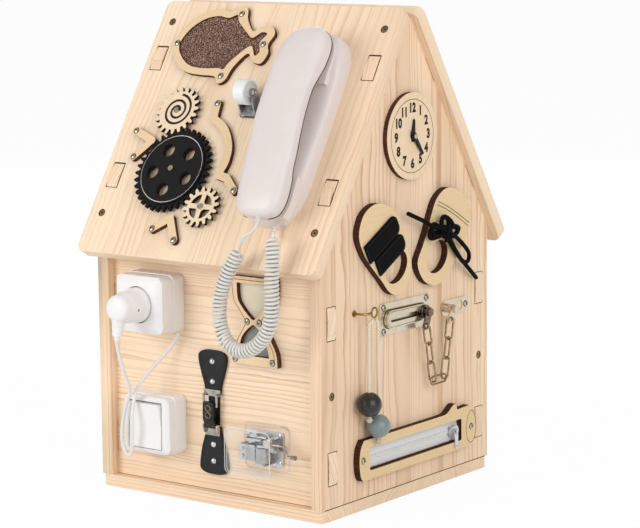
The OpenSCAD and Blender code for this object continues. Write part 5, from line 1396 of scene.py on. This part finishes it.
# --- joints between the boards
WALL_Y, WALL_TABS, EDGE_X, ROOF_TABS, BASE_T = 136.5, (55, 206), 143, (91, 234), 13
TAB_W, WALL_TAB_L, ROOF_TAB_L, GAP_LIFT = 14.8, 34.8, 28.8, 0.06


def rectangle(u, v, w, l):
    """Corners of a rectangle round its middle."""
    return [(u - w / 2, v - l / 2), (u + w / 2, v - l / 2), (u + w / 2, v + l / 2), (u - w / 2, v + l / 2)]


def mirrored(place, sx, sy):
    """The same face on the house's other side."""
    def other(u, v, h):
        p = place(u, v, h)
        return Vector((p.x * sx, p.y * sy, p.z))
    return other


def gap_lines():
    """Painted shade in the gaps round the tabs and under the walls, and wider painted shade along the upper
    side of each roof tab.
    """
    def foot(reach):
        return [([(-reach, BASE_T + 0.2), (reach, BASE_T + 0.2)], False)]
    rear_roof = mirrored(roof, 1, -1)
    wall_tabs = [(rectangle(y, z, TAB_W, WALL_TAB_L), True) for y in (-WALL_Y, WALL_Y) for z in WALL_TABS]
    roof_tabs = [(rectangle(x, v, TAB_W, ROOF_TAB_L), True) for x in (-EDGE_X, EDGE_X) for v in ROOF_TABS]
    # Wider painted shade along the upper edge of each roof tab
    deep = [([(x + side * TAB_W / 2, v + ROOF_TAB_L / 2 - 0.2) for side in (-1, 1)], False)
            for x in (-EDGE_X, EDGE_X) for v in ROOF_TABS]
    for name, place, lines, width, height in (
            ("right_gable_gaps", gable, wall_tabs + foot(149.8), 0.9, GAP_LIFT),
            ("left_gable_gaps", mirrored(gable, -1, 1), wall_tabs + foot(149.8), 0.9, GAP_LIFT),
            ("front_roof_gaps", roof, roof_tabs, 1.6, GAP_LIFT),
            ("rear_roof_gaps", rear_roof, roof_tabs, 1.6, GAP_LIFT),
            ("front_gap", front, foot(136), 0.55, GAP_LIFT),
            ("rear_gap", mirrored(front, 1, -1), foot(136), 0.55, GAP_LIFT),
            ("front_roof_deep_gaps", roof, deep, 2.4, 1.5 * GAP_LIFT),
            ("rear_roof_deep_gaps", rear_roof, deep, 2.4, 1.5 * GAP_LIFT)):
        burnt_lines(name, lines, width, place, height, burnt, "house", "pine")


gap_lines()

# --- screw recesses
FISH_SCREWS = [(-120.6, 251.3, 5), (-45.9, 289.5, 5), (-44.5, 214.1, 5), (-2.5, 254, 5)]
BAR_SCREWS = [(-132.4, 143.1, 5), (-123.5, 112.5, 5), (-62.5, 31.6, 5), (-28.5, 21.2, 5), (-35.3, 181.5, 5),
              (26.6, 82.7, 5)]
CASTER_SCREWS = [(15 + sx * 13.5, 183 + sv * 11, 1.8) for sx in (-1, 1) for sv in (-1, 1)]
HEAD = 1.9
places = [(roof(x, v, h + HEAD - 0.08), Vector((math.cos(i), 0.3, 0.4)), OFF_ROOF)
          for i, (x, v, h) in enumerate(FISH_SCREWS + BAR_SCREWS + CASTER_SCREWS)]
GLASS_SCREWS = [(52, 201, 7), (68, 201, 7), (35.5, 160.5, 7), (84.5, 160.5, 7)]
places += [(front(x, z, h + HEAD - 0.08), (math.cos(x), 0, math.sin(x)), OFF_FRONT) for x, z, h in GLASS_SCREWS]
GABLE_SCREWS = [(-7.5 + sy * 39.5, 197 + sz * 12.8, 2) for sy in (-1, 1) for sz in (-1, 1)]
GABLE_SCREWS += [(107.5, 192.4, 2), (-93, 56, 8), (109.5, 55.6, 8)]
places += [(gable(y, z, h + HEAD - 0.08), (0, math.cos(y), math.sin(y)), X) for y, z, h in GABLE_SCREWS]
SUNK, SUNK_FROM = -0.47, len(places)
for side in (-1, 1):
    for y in (-WALL_Y, WALL_Y):
        places.append((Vector((side * (GABLE_X + SUNK), y, 130.5)) * MM, (0, 1, y * 0.004), (side, 0, 0)))
    for v in (46, 279.5):
        p = roof(side * EDGE_X, v, SUNK)
        places += [(p, (1, 0.3 * side, v * 0.01), OFF_ROOF),
                   (Vector((p.x, -p.y, p.z)), (1, 0.7 * side, v * 0.02), OFF_REAR)]
    places += [(Vector((side * EDGE_X, y, -SUNK)) * MM, (1, y * 0.01, 0), (0, 0, -1)) for y in (-100, 0, 100)]
    places += [(Vector((x, side * WALL_Y, -SUNK)) * MM, (1, x * 0.01, 0), (0, 0, -1)) for x in (-75, 75)]
repeats("screw_recesses", places, cross_recess(), recess_shade, "house", "steel")


def ring_shape(inner, outer, sides=28):
    """Flat ring between two radii."""
    return new_mesh("ring", [(r * MM * math.cos(a), r * MM * math.sin(a), 0)
                             for r in (inner, outer) for a in steps_round(sides)],
                    [(k, sides + k, sides + (k + 1) % sides, (k + 1) % sides) for k in range(sides)])


# Rings of painted shadow round the screw heads and round the sunk screws.
rings, sink_shadow_rings = [], []
for point, turn, off in places:
    off = Vector(off)
    if len(rings) < SUNK_FROM:
        rings.append((point - off * (HEAD - 0.14) * MM, turn, off))
    else:
        sink_shadow_rings.append((point - off * (SUNK - 0.06) * MM, turn, off))
repeats("screw_seats", rings, ring_shape(3.0, 3.8), burnt, "house", "steel")
repeats("screw_sinks", sink_shadow_rings, ring_shape(3.6, 4.4), burnt, "house", "steel")

# --- floor and light
# Share of plain white in what the floor shows; the rest takes the shadow
WHITE_SHARE, FLOOR_REACH, LAMP_AIM = 0.96, 12, (0, 0, 0.26)
LAMPS = (("key", (-1.0, -2.5, 1.0), 1.5, 31), ("fill", (2.6, -0.9, 1.3), 2.0, 33),
         ("top", (0.3, 0.6, 2.8), 2.0, 7), ("back", (-1.6, 2.2, 1.4), 1.8, 20))


def add_stage():
    """Pale floor that shows white and keeps the object's shadow, and soft studio lamps."""
    corners = [(x * FLOOR_REACH, y * FLOOR_REACH, 0) for x, y in ((-1, -1), (1, -1), (1, 1), (-1, 1))]
    floor = added("floor", new_mesh("floor", corners, [(0, 1, 2, 3)]))
    mat = bpy.data.materials.new("pale_floor")
    mat.use_nodes = True
    tree = mat.node_tree
    tree.nodes.clear()
    new, link = tree.nodes.new, tree.links.new
    out, mix = new("ShaderNodeOutputMaterial"), new("ShaderNodeMixShader")
    diffuse, glow = new("ShaderNodeBsdfDiffuse"), new("ShaderNodeEmission")
    path = new("ShaderNodeLightPath")
    add1, add2, scale = new("ShaderNodeMath"), new("ShaderNodeMath"), new("ShaderNodeMath")
    scale.operation = "MULTIPLY"
    scale.inputs[1].default_value = WHITE_SHARE
    add2.use_clamp = True
    diffuse.inputs["Color"].default_value = (0.86, 0.86, 0.86, 1)
    glow.inputs["Strength"].default_value = 1.0
    link(path.outputs["Is Camera Ray"], add1.inputs[0])
    link(path.outputs["Is Glossy Ray"], add1.inputs[1])
    link(add1.outputs[0], add2.inputs[0])
    link(path.outputs["Is Transmission Ray"], add2.inputs[1])
    link(add2.outputs[0], scale.inputs[0])
    link(scale.outputs[0], mix.inputs[0])
    link(diffuse.outputs[0], mix.inputs[1])
    link(glow.outputs[0], mix.inputs[2])
    link(mix.outputs[0], out.inputs[0])
    floor.data.materials.append(mat)

    world = bpy.data.worlds.new("studio")
    scene.world = world
    world.use_nodes = True
    wt = world.node_tree
    back = wt.nodes["Background"]
    back.inputs["Color"].default_value = (1, 1, 1, 1)
    wpath = wt.nodes.new("ShaderNodeLightPath")
    wmix = wt.nodes.new("ShaderNodeMapRange")
    wt.links.new(wpath.outputs["Is Camera Ray"], wmix.inputs[0])
    wmix.inputs[3].default_value, wmix.inputs[4].default_value = 0.5, 1.0
    wt.links.new(wmix.outputs[0], back.inputs["Strength"])

    for name, at, size, power in LAMPS:
        data = bpy.data.lights.new(name, "AREA")
        data.shape, data.size, data.energy = "SQUARE", size, power
        aim = (Vector(LAMP_AIM) - Vector(at)).to_track_quat("-Z", "Y").to_matrix().to_4x4()
        added(name, data).matrix_world = Matrix.Translation(at) @ aim


add_stage()
scene.view_settings.view_transform = "Standard"
